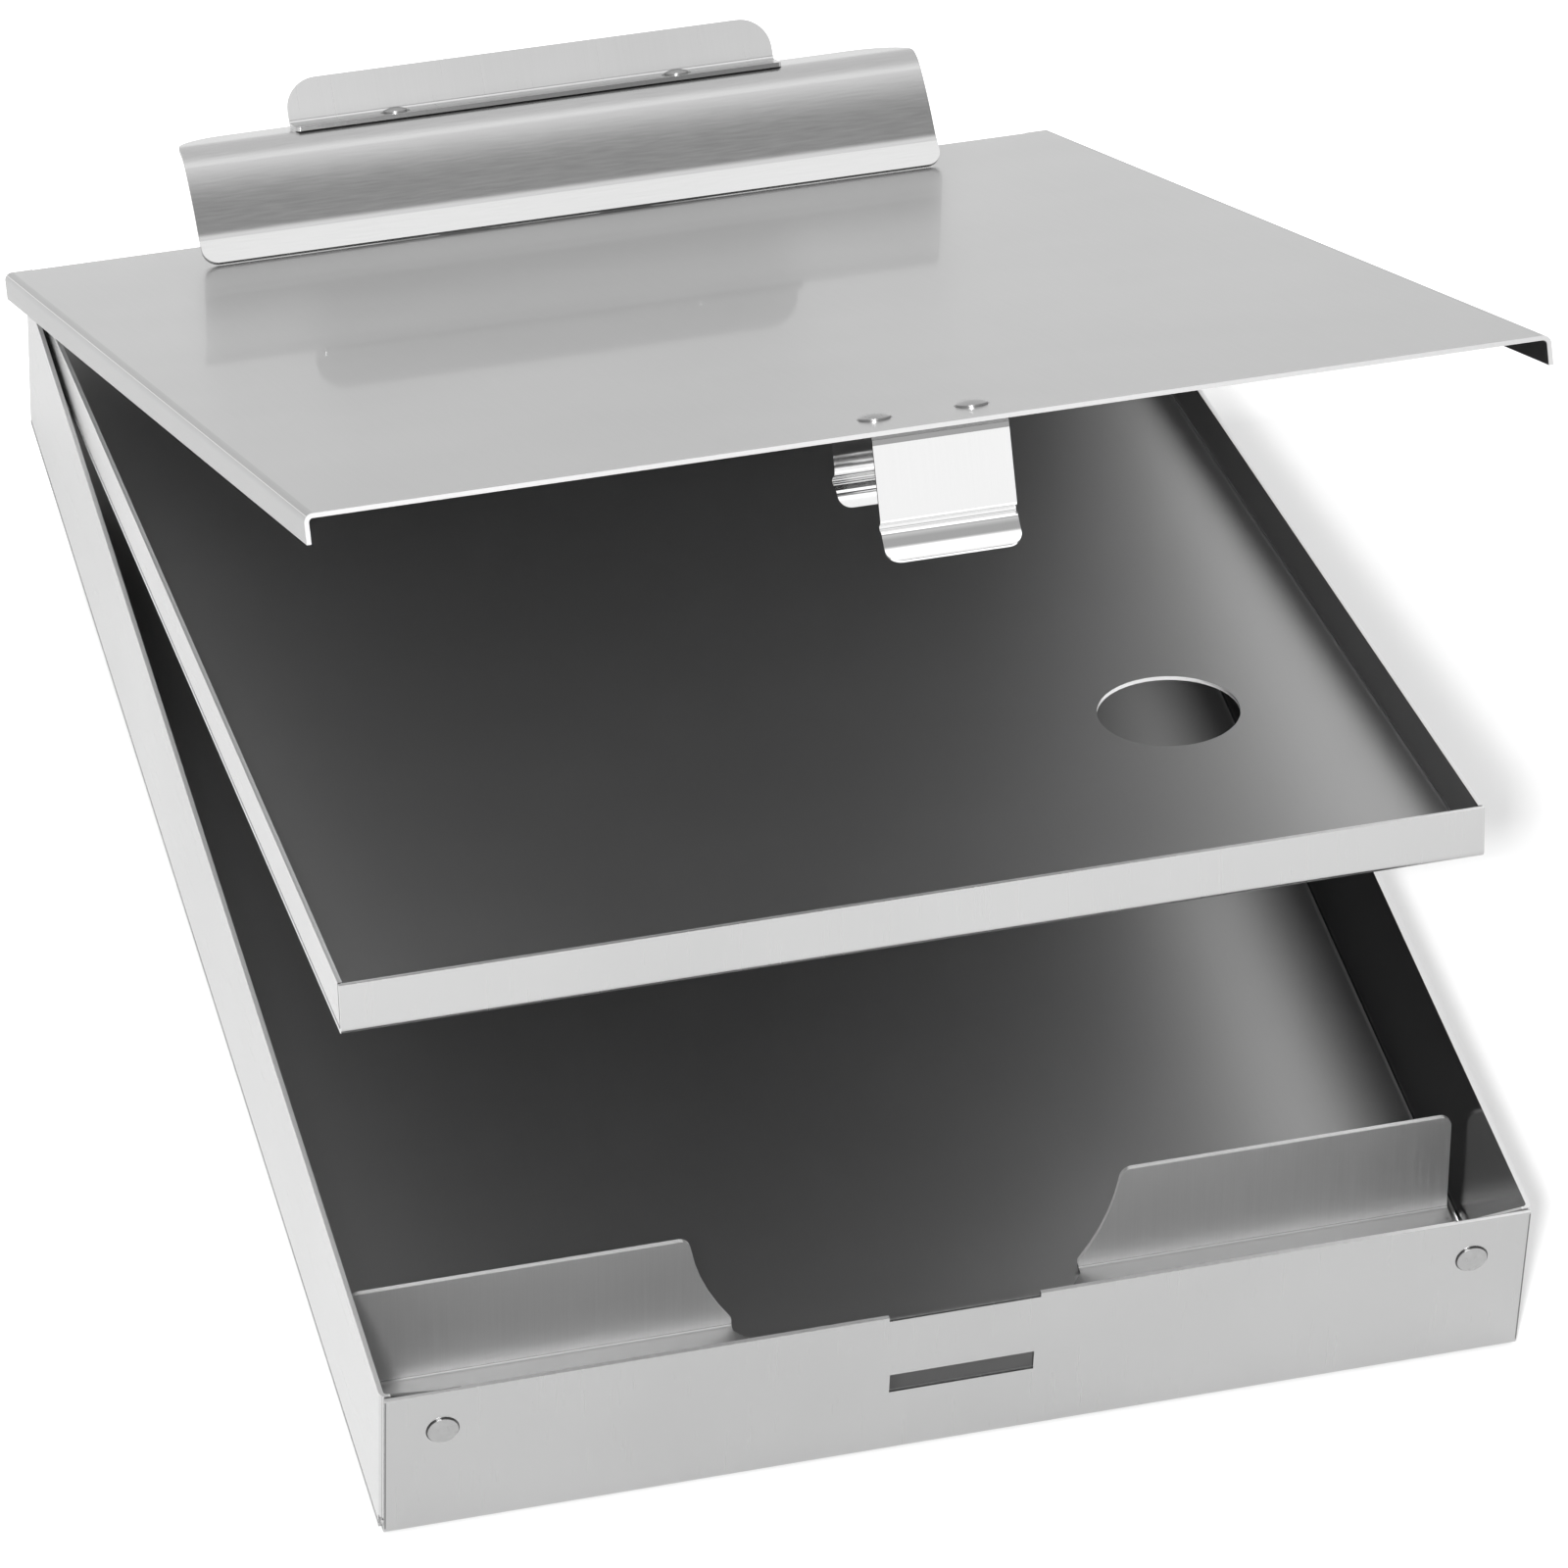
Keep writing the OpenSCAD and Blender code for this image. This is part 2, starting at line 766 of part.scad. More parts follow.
// Places children at the rivets of the clip base on the closed lid
module at_base_rivets() {
    for (s = [-1, 1])
        translate([clip_shift + s * base_rivet_x, base_rivet_y, lid_top + clip_t])
            children();
}

module clip_base() {
    upright_y = axis_y - knuckle_r;
    color([0.70, 0.70, 0.70])
        opened(lid_open_angle)
            difference() {
                translate([clip_shift, 0, 0]) {
                    block(
                        [-base_half, base_front, lid_top],
                        [base_half, upright_y - base_bend, lid_top + clip_t]
                    );
                    for (s = [-1, 1]) {
                        x = s * (base_half - clip_knuckle_l / 2);
                        translate([x, 0, 0])
                            bent_strip(
                                [
                                    [2 * base_bend, 90, base_bend],
                                    [axis_z - lid_top - clip_t / 2 - base_bend, 0, 0]
                                ],
                                [upright_y + clip_t / 2 - 3 * base_bend, lid_top + clip_t / 2],
                                0, clip_t, clip_knuckle_l
                            );
                        bar_x(
                            x - clip_knuckle_l / 2, x + clip_knuckle_l / 2, knuckle_r,
                            axis_y, axis_z
                        );
                    }
                }
                rod_hole();
                at_base_rivets()
                    shank_hole(clip_t + sheet_t);
            }
}

// The hole for the clip rod through its knuckles
module rod_hole() {
    bar_x(-side_x, side_x, rod_r + pin_fit, axis_y, axis_z);
}

module clip_base_rivets() {
    color([0.75, 0.75, 0.75])
        opened(lid_open_angle)
            at_base_rivets()
                rivet(clip_t + sheet_t, small_head_r);
}

module clip_rod() {
    color([0.60, 0.60, 0.60])
        opened(lid_open_angle)
            bar_x(clip_shift - rod_half, clip_shift + rod_half, rod_r, axis_y, axis_z);
}

// Jaw: flat top, round front, leaning web and lip, from the rear edge of the flat top to the lip
jaw_z = lid_top + jaw_h - clip_t / 2;
jaw_y1 = clip_rear - clip_t / 2 - jaw_rear_r;
curve_end_z = jaw_z - jaw_r * (1 - sin(web_lean));
web_l = (curve_end_z - lid_top - crease_h) / cos(web_lean);
crease_end = arc_point([0, lid_top + crease_h], 270 - web_lean, web_lean - lip_lean, crease_r);
jaw_lip_l = (crease_end[1] - lid_top - rest_gap - clip_t / 2 * sin(lip_lean)) / cos(lip_lean);
jaw_flat = jaw_deep - clip_t / 2 - jaw_rear_r - jaw_r * cos(web_lean) - web_l * sin(web_lean)
    + crease_end[0] - jaw_lip_l * sin(lip_lean) - clip_t / 2 * cos(lip_lean);
jaw_steps = [
    [jaw_flat, 90 - web_lean, jaw_r],
    [web_l, web_lean - lip_lean, crease_r],
    [jaw_lip_l, 0, 0]
];

// Plate of the jaw with its round corners
module jaw_plate() {
    difference() {
        bent_strip(jaw_steps, [jaw_y1, jaw_z], 180, clip_t, jaw_w);
        for (s = [-1, 1]) {
            translate([s * jaw_w / 2, jaw_y1, jaw_z - clip_t])
                rotate([0, 0, s > 0 ? 180 : 270])
                    corner_cut(jaw_plan_r, 2 * clip_t);
            translate([s * jaw_w / 2, clip_rear - jaw_deep / 2, lid_top + rest_gap])
                rotate([90, 0, 0])
                    rotate([0, 0, s > 0 ? 90 : 0])
                        corner_cut(jaw_corner_r, jaw_deep);
        }
    }
}

// Two lugs that bend down from the jaw's flat top and roll round the rod
module jaw_lugs() {
    for (s = [-1, 1]) {
        x = s * (rod_half - clip_knuckle_l / 2);
        translate([x, 0, 0])
            bent_strip(
                [[jaw_z - jaw_rear_r - axis_z, 90, jaw_rear_r], [jaw_rear_r, 0, 0]],
                [clip_rear - clip_t / 2, axis_z], 90, clip_t, clip_knuckle_l
            );
        bar_x(x - clip_knuckle_l / 2, x + clip_knuckle_l / 2, knuckle_r, axis_y, axis_z);
    }
}

module clip_jaw() {
    color([0.74, 0.74, 0.74])
        opened(lid_open_angle)
            difference() {
                union() {
                    translate([clip_shift + jaw_shift, 0, 0])
                        jaw_plate();
                    translate([clip_shift, 0, 0])
                        jaw_lugs();
                }
                rod_hole();
                at_lever_rivets()
                    shank_hole(2 * clip_t);
            }
}

// Places children at the rivets that hold the lever on the jaw of the closed lid
module at_lever_rivets() {
    for (s = [-1, 1])
        translate([
            clip_shift + s * lever_rivet_span / 2, lever_rivet_y, lid_top + jaw_h + clip_t
        ])
            children();
}

module clip_lever() {
    flange_end = lever_rivet_y + small_head_r;
    rise = (lever_h - clip_t / 2 - lever_bend * (1 - sin(lever_lean))) / cos(lever_lean);
    color([0.76, 0.76, 0.76])
        opened(lid_open_angle)
            difference() {
                translate([clip_shift, 0, 0])
                    bent_strip(
                        [[lever_flange, 90 - lever_lean, lever_bend], [rise, 0, 0]],
                        [flange_end - lever_flange, lid_top + jaw_h + clip_t / 2],
                        0, clip_t, lever_w
                    );
                for (s = [-1, 1])
                    translate([
                        clip_shift + s * lever_w / 2, flange_end + lever_h,
                        lid_top + jaw_h + lever_h
                    ])
                        rotate([90, 0, 0])
                            rotate([0, 0, s > 0 ? 180 : 270])
                                corner_cut(lever_corner_r, 2 * lever_h);
                at_lever_rivets()
                    shank_hole(2 * clip_t);
            }
}

module lever_rivets() {
    color([0.80, 0.80, 0.80])
        opened(lid_open_angle)
            at_lever_rivets()
                rivet(2 * clip_t, small_head_r);
}

// Clip spring: a tube along a path that lies in the YZ plane but for the coil's slow run along X
coil_count = coil_turns * coil_steps;
coil_end = coil_turns * 360 + leg_lean;
coil_x0 = clip_shift - coil_turns * coil_pitch / 2;
function coil_point(a) = [
    coil_x0 + coil_pitch * a / 360, axis_y + coil_r * cos(a), axis_z + coil_r * sin(a)
];
coil_path = [for (k = [0 : coil_count]) coil_point(coil_end * k / coil_count)];
leg_up = lid_top + jaw_h - axis_z - clip_t / 2;
spring_path = concat(
    [coil_path[0] - [0, 0, leg_down]],
    coil_path,
    [coil_path[coil_count] + leg_up * [0, -sin(leg_lean), cos(leg_lean)]]
);
function unit(v) = v / norm(v);
function tangent(p, i) = unit(p[min(i + 1, len(p) - 1)] - p[max(i - 1, 0)]);
function ring(p, i) =
    let (
        d = tangent(p, i),
        u = unit([1, 0, 0] - d[0] * d),
        v = cross(d, u)
    )
    [for (k = [0 : coil_sides - 1])
        p[i] + wire_r * (cos(360 * k / coil_sides) * u + sin(360 * k / coil_sides) * v)];
spring_points = [for (i = [0 : len(spring_path) - 1]) each ring(spring_path, i)];
spring_rings = len(spring_path);
spring_sides = [
    for (i = [0 : spring_rings - 2], k = [0 : coil_sides - 1])
        let (
            a = i * coil_sides + k,
            b = i * coil_sides + (k + 1) % coil_sides,
            c = b + coil_sides,
            d = a + coil_sides
        )
        each [[a, c, b], [a, d, c]]
];
spring_ends = [
    for (k = [1 : coil_sides - 2])
        let (e = (spring_rings - 1) * coil_sides)
        each [[0, k, k + 1], [e, e + k + 1, e + k]]
];

// Least gap of the wire to itself, measured between ring centres that lie half a turn or more apart
spring_self_gap = min([
    for (i = [0 : spring_rings - 1], j = [i + coil_steps / 2 : 1 : spring_rings - 1])
        norm(spring_path[i] - spring_path[j])
]) - 2 * wire_r;
echo("least gap of the clip spring to itself in mm", spring_self_gap);

module clip_spring() {
    color([0.50, 0.50, 0.50])
        opened(lid_open_angle)
            polyhedron(points = spring_points, faces = concat(spring_sides, spring_ends));
}

base_box();
front_corner_rivets();
rear_corner_rivets();
paper_stop();
hinge_pin();
middle_tray();
lid_plate();
latch_web();
latch_front_leg();
latch_rear_leg();
latch_rivets();
clip_base();
clip_base_rivets();
clip_rod();
clip_spring();
clip_jaw();
clip_lever();
lever_rivets();
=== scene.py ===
"""Looks of the storage clipboard box: finishes, smooth folded pieces, rivets, spring, studio and camera.

Lengths are in metres, the front is at -Y and +Z is up. Folded pieces are laid out on the shut box and then
turned about the hinge as far as the frame's tray or lid stands open.
"""

import json
import logging
import math
from dataclasses import dataclass, field
from enum import Enum
from functools import reduce

import bmesh
import bpy
from mathutils import Matrix, Vector

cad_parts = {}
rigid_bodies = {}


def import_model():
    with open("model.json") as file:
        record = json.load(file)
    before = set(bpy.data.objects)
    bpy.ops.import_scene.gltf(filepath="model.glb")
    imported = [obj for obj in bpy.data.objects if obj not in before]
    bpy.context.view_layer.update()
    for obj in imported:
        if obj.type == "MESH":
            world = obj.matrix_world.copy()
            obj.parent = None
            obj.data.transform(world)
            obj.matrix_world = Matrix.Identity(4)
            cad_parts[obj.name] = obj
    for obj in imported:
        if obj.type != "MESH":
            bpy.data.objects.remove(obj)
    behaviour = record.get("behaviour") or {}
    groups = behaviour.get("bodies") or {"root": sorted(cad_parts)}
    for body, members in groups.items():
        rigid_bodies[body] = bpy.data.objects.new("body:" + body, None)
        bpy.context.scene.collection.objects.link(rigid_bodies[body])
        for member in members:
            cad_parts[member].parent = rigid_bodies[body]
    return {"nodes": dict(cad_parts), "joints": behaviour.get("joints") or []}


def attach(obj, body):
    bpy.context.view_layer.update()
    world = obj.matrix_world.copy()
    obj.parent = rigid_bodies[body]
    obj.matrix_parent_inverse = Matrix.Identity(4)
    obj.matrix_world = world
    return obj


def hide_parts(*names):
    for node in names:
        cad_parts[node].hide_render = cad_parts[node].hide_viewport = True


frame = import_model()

MM = 0.001
SHEET = 0.9 * MM  # the sheet of the box, the tray and the lid
# HAIR sets how deep each painted highlight on a cut edge reaches into its sheet
HAIR = 0.045 * MM  # how far the area of a cut edge reaches into its sheet
SHARP = math.radians(30)  # an edge that bends more than this is shaded sharp
GRAIN_SPAN, GLOSS_SPAN, CLOUD_SPAN = (0.25, 0.75), (0.2, 0.8), (0.3, 0.7)  # the noises' usual limits
log = logging.getLogger("clipboard_box")

Point = tuple[float, float, float]
Span = tuple[float, float]
Shell = tuple[list[Vector], list[tuple[int, ...]]]
Socket = bpy.types.NodeSocket


class Lies(Enum):
    """How a body stands in the photographed pose: shut, or opened with the tray or the lid."""

    SHUT = "box"
    TRAY = "tray"
    LID = "lid"


def joint(name: str) -> dict:
    """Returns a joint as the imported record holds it."""
    return next(j for j in frame["joints"] if j["name"] == name)


@dataclass(frozen=True)
class Hinge:
    """The hinge at the rear and the angles at which tray and lid stand open."""

    y: float = joint("tray_hinge")["pos_m"][1]
    z: float = joint("tray_hinge")["pos_m"][2]
    tray_angle: float = -math.radians(joint("tray_hinge")["range_deg"][0])
    lid_angle: float = -math.radians(joint("tray_hinge")["range_deg"][0] + joint("lid_hinge")["range_deg"][0])

    def angle(self, lies: Lies) -> float:
        """Returns the angle, in radians, at which a body stands open."""
        return {Lies.SHUT: 0.0, Lies.TRAY: self.tray_angle, Lies.LID: self.lid_angle}[lies]

    def opened(self, lies: Lies) -> Matrix:
        """Returns the matrix that turns a point of a shut body to where it is in the frame."""
        place = Matrix.Translation((0, self.y, self.z))
        return place @ Matrix.Rotation(-self.angle(lies), 4, "X") @ place.inverted()

    def shut(self, lies: Lies, y: float, z: float) -> Vector:
        """Returns where a point (y, z) of an opened body lies with the body shut."""
        return (self.opened(lies).inverted() @ Vector((0, y, z))).yz


HINGE = Hinge()


def ahead(angle: float) -> Vector:
    """Returns the unit vector (y, z) at an angle from +Y."""
    return Vector((math.cos(angle), math.sin(angle)))


def beside(angle: float) -> Vector:
    """Returns the unit vector (y, z) to the left of an angle."""
    return Vector((-math.sin(angle), math.cos(angle)))


class Nodes:
    """Adds and links nodes of one tree in short calls."""

    def __init__(self, tree: bpy.types.NodeTree) -> None:
        """Starts with the tree emptied."""
        self.tree = tree
        tree.nodes.clear()

    def add(self, kind: str, inputs: dict | None = None, **settings) -> bpy.types.Node:
        """Adds a node.

        Args:
            kind: the node's type name.
            inputs: a socket or a value for each input, by name or by number.
            settings: values for the node's own properties.

        Returns:
            The new node.
        """
        node = self.tree.nodes.new(kind)
        for name, value in settings.items():
            setattr(node, name, value)
        for name, value in (inputs or {}).items():
            if isinstance(value, Socket):
                self.tree.links.new(value, node.inputs[name])
            else:
                node.inputs[name].default_value = value
        return node

    def math(self, operation: str, *values) -> Socket:
        """Returns what a Math node makes of sockets and numbers."""
        return self.add("ShaderNodeMath", dict(enumerate(values)), operation=operation).outputs[0]

    def product(self, *values) -> Socket:
        """Returns the product of sockets and numbers."""
        return reduce(lambda a, b: self.math("MULTIPLY", a, b), values)

    def split(self, vector: Socket) -> list[Socket]:
        """Returns a vector's three numbers."""
        return list(self.add("ShaderNodeSeparateXYZ", {"Vector": vector}).outputs)


@dataclass(frozen=True)
class Area:
    """A block of a shut body in which a finish changes or light, shade or a highlight is painted, by its limits
    along each axis.
    """

    x: Span
    y: Span
    z: Span


class ShaderNodes(Nodes):
    """Nodes of a material or of the world."""

    def remap(self, value: Socket, old: Span, new: Span) -> Socket:
        """Returns a value with one range of it mapped to another."""
        limits = {"Value": value, "From Min": old[0], "From Max": old[1], "To Min": new[0], "To Max": new[1]}
        return self.add("ShaderNodeMapRange", limits).outputs["Result"]

    def mix(self, factor, a, b) -> Socket:
        """Returns the mix of two numbers, each a socket or a value."""
        return self.add("ShaderNodeMix", {"Factor": factor, "A": a, "B": b}, data_type="FLOAT").outputs["Result"]

    def scale_in(self, value: Socket, mask: Socket, factor: float) -> Socket:
        """Returns a value that is multiplied by a factor where a mask is 1."""
        return self.math("MULTIPLY", value, self.mix(mask, 1.0, factor))

    def noise(self, place: Socket, scale: float, detail: float) -> Socket:
        """Returns a Noise Texture's grey."""
        return self.add("ShaderNodeTexNoise", {"Vector": place, "Scale": scale, "Detail": detail}).outputs[0]

    def within(self, axes: list[Socket], areas: tuple[Area, ...]) -> Socket:
        """Gives 1 inside any of some areas.

        Args:
            axes: the three coordinates of the shut body.
            areas: the areas.

        Returns:
            The mask.
        """
        blocks = []
        for area in areas:
            sides = []
            for axis, limits in zip(axes, (area.x, area.y, area.z)):
                low, high = sorted(limits)
                sides += [self.math("GREATER_THAN", axis, low), self.math("LESS_THAN", axis, high)]
            blocks.append(self.product(*sides))
        return reduce(lambda a, b: self.math("MAXIMUM", a, b), blocks)


@dataclass(frozen=True)
class Metal:
    """A sheet or wire finish: tone, gloss, the grain of its brushing and the areas in which they change, which
    mostly hold painted light, shade or highlights.
    """

    name: str
    slot: str
    tone: float
    roughness: float
    grain: float = 0.05
    grain_across: float = 3000.0
    grain_along: float = 45.0
    grain_depth: float = 0.02 * MM
    bump: float = 0.35
    gloss_swing: float = 3.0
    cloud: float = 0.04
    cloud_scale: float = 14.0
    stretch: float = 0.0
    coat: float = 0.0
    coat_rough: float = 0.04
    side_facing: float = 0.7
    # painted light: the tone of faces that look to a side is multiplied by this
    side_painted_light: float = 1.0
    inner: tuple[Area, ...] = ()
    # painted light where above 1 and painted shade where below 1: the tone inside the inner areas is multiplied
    # by this
    inner_painted_light: float = 1.0
    inner_rough: float = 0.0
    # painted shade: the tone of upright faces inside the inner areas is multiplied by this
    wall_painted_shade: float = 1.0
    wall_rough: float = 0.16
    edges: tuple[Area, ...] = ()
    # painted highlight: the tone on the edges is multiplied by this
    edge_painted_highlight: float = 1.0
    edge_rough: float = 0.2
    # dark lines: real seams on the box, and painted shade on the lid's folds, the latch's top bend and the
    # lever's foot
    seams_and_shade: tuple[Area, ...] = ()
    seam_and_shade_tone: float = 0.4
    seats: tuple[Point, ...] = ()
    seat_radius: float = 3.4 * MM
    # painted shade: the tone of a ring round each rivet seat is multiplied by this
    seat_painted_shade: float = 0.25
    lies: Lies = Lies.SHUT

    def brushing(self, nodes: ShaderNodes, axes: list[Socket], upright: Socket) -> Socket:
        """Draws the grain: it runs along Y on side walls, and along Y and Z elsewhere.

        Args:
            nodes: the material's nodes.
            axes: the three coordinates of the shut body.
            upright: 1 on faces that look to a side.

        Returns:
            The grain.
        """
        stretched = {
            "X": nodes.product(nodes.mix(upright, axes[0], axes[2]), self.grain_across),
            "Y": nodes.product(axes[1], self.grain_along),
            "Z": nodes.product(axes[2], self.grain_along),
        }
        return nodes.noise(nodes.add("ShaderNodeCombineXYZ", stretched).outputs[0], 1.0, 3.0)

    def shading(self, nodes: ShaderNodes, shut: Socket, upright: Socket) -> tuple[Socket, Socket, Socket]:
        """Works out how the finish changes over the body, with its painted light, shade and highlights.

        Args:
            nodes: the material's nodes.
            shut: the place on the shut body.
            upright: 1 on faces that look to a side.

        Returns:
            The tone, the roughness and the grain.
        """
        axes = nodes.split(shut)
        grain = self.brushing(nodes, axes, upright)
        cloud = nodes.noise(shut, self.cloud_scale, 2.0)
        tone = nodes.math("ADD", nodes.remap(grain, GRAIN_SPAN, (-self.grain, self.grain)), 1.0)
        tone = nodes.math("ADD", tone, nodes.remap(cloud, CLOUD_SPAN, (-self.cloud, self.cloud)))
        # painted light: faces that look to a side are made lighter
        tone = nodes.scale_in(nodes.product(tone, self.tone), upright, self.side_painted_light)
        swing = self.gloss_swing * self.grain
        rough = nodes.remap(grain, GLOSS_SPAN, (self.roughness * (1 - swing), self.roughness * (1 + swing)))
        # inner areas: painted light (factor above 1) and painted shade (below 1), and painted shade on their
        # upright walls
        if self.inner:
            inside = nodes.within(axes, self.inner)
            wall = nodes.product(inside, upright)
            tone = nodes.scale_in(nodes.scale_in(tone, inside, self.inner_painted_light), wall, self.wall_painted_shade)
            rough = nodes.math("ADD", rough, nodes.product(inside, self.inner_rough))
            rough = nodes.mix(wall, rough, self.wall_rough)
        # painted highlights along the edges
        if self.edges:
            edge = nodes.within(axes, self.edges)
            tone = nodes.scale_in(tone, edge, self.edge_painted_highlight)
            rough = nodes.math("ADD", rough, nodes.product(edge, self.edge_rough))
        # dark lines: real seams, and painted shade
        if self.seams_and_shade:
            tone = nodes.scale_in(tone, nodes.within(axes, self.seams_and_shade), self.seam_and_shade_tone)
        # painted shade rings round the rivet seats
        for seat in self.seats:
            apart = nodes.add("ShaderNodeVectorMath", {0: shut, 1: seat}, operation="DISTANCE")
            near = nodes.math("LESS_THAN", apart.outputs["Value"], self.seat_radius)
            tone = nodes.scale_in(tone, near, self.seat_painted_shade)
        return tone, rough, grain

    def material(self) -> bpy.types.Material:
        """Builds the finish as a node material on Object coordinates.

        Returns:
            The material.
        """
        made = bpy.data.materials.new(self.name)
        made.use_nodes = True
        nodes = ShaderNodes(made.node_tree)
        back = HINGE.opened(self.lies).inverted()
        turned = {
            "Vector": nodes.add("ShaderNodeTexCoord").outputs["Object"],
            "Rotation": back.to_euler(),
            "Location": back.to_translation(),
        }
        shut = nodes.add("ShaderNodeMapping", turned).outputs[0]
        sideways = nodes.split(nodes.add("ShaderNodeNewGeometry").outputs["Normal"])[0]
        upright = nodes.math("GREATER_THAN", nodes.math("ABSOLUTE", sideways), self.side_facing)
        tone, rough, grain = self.shading(nodes, shut, upright)
        colour = nodes.add("ShaderNodeCombineColor", {"Red": tone, "Green": tone, "Blue": tone})
        relief = {"Height": grain, "Strength": self.bump, "Distance": self.grain_depth}
        # the stretched gloss lies across the grain, upright on side walls
        across = nodes.add("ShaderNodeCombineXYZ", {"X": nodes.math("SUBTRACT", 1.0, upright), "Z": upright})
        shader = nodes.add(
            "ShaderNodeBsdfPrincipled",
            {
                "Base Color": colour.outputs[0],
                "Metallic": 1.0,
                "Roughness": rough,
                "Anisotropic": self.stretch,
                "Coat Weight": self.coat,
                "Coat Roughness": self.coat_rough,
                "Tangent": across.outputs[0],
                "Normal": nodes.add("ShaderNodeBump", relief).outputs[0],
            },
        )
        nodes.add("ShaderNodeOutputMaterial", {"Surface": shader.outputs[0]})
        return made

    def dress(self, name: str) -> None:
        """Puts the finish on a CAD node and reports it.

        Args:
            name: the node's name.
        """
        node, material = frame["nodes"][name], self.material()
        if node.material_slots:
            for slot in node.material_slots:
                slot.material = material
        else:
            node.data.materials.append(material)
        log.info("%s: CAD shape, %s", name, self.name)


def settle(made: bpy.types.Object, node: str, body: str) -> None:
    """Rides a piece on its body in place of a CAD node, and reports it.

    Args:
        made: the piece.
        node: the CAD node's name.
        body: the body's name.
    """
    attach(made, body)
    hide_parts(node)
    log.info("%s: in place of %s, %d faces", made.name, node, len(made.data.polygons))


def new_mesh(name: str, points: list, edges: list, faces: list) -> bpy.types.Mesh:
    """Returns a mesh of points, edges and faces."""
    mesh = bpy.data.meshes.new(name)
    mesh.from_pydata([tuple(p) for p in points], edges, faces)
    return mesh


def link(name: str, data: bpy.types.ID) -> bpy.types.Object:
    """Returns an object of some data, linked to the scene."""
    made = bpy.data.objects.new(name, data)
    bpy.context.scene.collection.objects.link(made)
    return made


def shade(mesh: bpy.types.Mesh) -> None:
    """Shades a mesh smooth but for its sharp edges, with every face pointing outwards.

    Args:
        mesh: the mesh.
    """
    work = bmesh.new()
    work.from_mesh(mesh)
    bmesh.ops.recalc_face_normals(work, faces=work.faces)
    work.to_mesh(mesh)
    work.free()
    mesh.polygons.foreach_set("use_smooth", [True] * len(mesh.polygons))
    mesh.set_sharp_from_angle(angle=SHARP)
    mesh.update()


@dataclass(frozen=True)
class Step:
    """A straight run of folded sheet and the bend after it: a positive turn, in degrees, is to the left."""

    run: float
    turn: float = 0.0
    radius: float = 0.0

    @property
    def bend(self) -> float:
        """Length of the bend."""
        return abs(math.radians(self.turn)) * self.radius


@dataclass
class Fold:
    """The middle line of a folded sheet in the YZ plane."""

    start: Vector
    heading: float
    steps: list[Step]

    def length(self) -> float:
        """Returns the line's whole length."""
        return sum(s.run + s.bend for s in self.steps)

    def at(self, distance: float) -> tuple[Vector, float]:
        """Finds a point of the line.

        Args:
            distance: how far along the line it is.

        Returns:
            The point as (y, z), and the heading there in radians.
        """
        point, heading, left = self.start.copy(), math.radians(self.heading), distance
        for step in self.steps:
            run = min(left, step.run)
            point = point + run * ahead(heading)
            left -= run
            if left <= 0:
                return point, heading
            if step.bend:
                share = min(1.0, left / step.bend)
                arm = math.copysign(step.radius, step.turn)
                hub = point + arm * beside(heading)
                heading += math.radians(step.turn) * share
                point = hub - arm * beside(heading)
                left -= step.bend * share
        return point, heading

    def marks(self, fineness: float) -> list[float]:
        """Gives the distances at which the line bends, every few degrees.

        Args:
            fineness: the degrees between two marks in a bend.

        Returns:
            The distances, in order, with both ends.
        """
        found, along = [0.0], 0.0
        for step in self.steps:
            along += step.run
            found.append(along)
            count = max(1, round(abs(step.turn) / fineness)) if step.bend else 0
            found.extend(along + step.bend * k / count for k in range(1, count + 1))
            along += step.bend
        return found


@dataclass
class FoldedSheet:
    """A strip of sheet that follows a fold, with round corners at either end."""

    fold: Fold
    width: float
    thickness: float
    centre: float = 0.0
    start_round: float = 0.0
    end_round: float = 0.0
    fineness: float = 2.5
    corner_marks: int = 12
    closest: float = 0.01 * MM

    def half_width(self, along: float) -> float:
        """Finds how wide the strip is at a distance along the fold.

        Args:
            along: the distance.

        Returns:
            Half the width there.
        """
        half = self.width / 2
        for gap, radius in ((along, self.start_round), (self.fold.length() - along, self.end_round)):
            if radius and gap < radius:
                half -= radius - math.sqrt(max(0.0, radius**2 - (radius - gap) ** 2))
        return half

    def stations(self) -> list[float]:
        """Gives the distances along the fold at which the mesh has a row.

        Returns:
            The distances, in order and a little apart.
        """
        found = self.fold.marks(self.fineness)
        quarter = [1 - math.cos(math.pi / 2 * k / self.corner_marks) for k in range(self.corner_marks + 1)]
        found += [self.start_round * q for q in quarter if self.start_round]
        found += [self.fold.length() - self.end_round * q for q in quarter if self.end_round]
        kept: list[float] = []
        for value in sorted(found):
            if not kept or value - kept[-1] > self.closest:
                kept.append(value)
        return kept

    def shell(self) -> Shell:
        """Builds the strip's closed surface.

        Returns:
            The vertices and the faces.
        """
        points, faces = [], []
        for along in self.stations():
            middle, heading = self.fold.at(along)
            off = self.thickness / 2 * beside(heading)
            half = self.half_width(along)
            for side in (middle - off, middle + off):
                points += [Vector((x, side.x, side.y)) for x in (self.centre - half, self.centre + half)]
        last = len(points) - 4
        for a in range(0, last, 4):
            b = a + 4
            faces += [(a, b, b + 1, a + 1), (a + 2, a + 3, b + 3, b + 2)]
            faces += [(a, a + 2, b + 2, b), (a + 1, b + 1, b + 3, a + 3)]
        faces += [(0, 1, 3, 2), (last, last + 2, last + 3, last + 1)]
        return points, faces


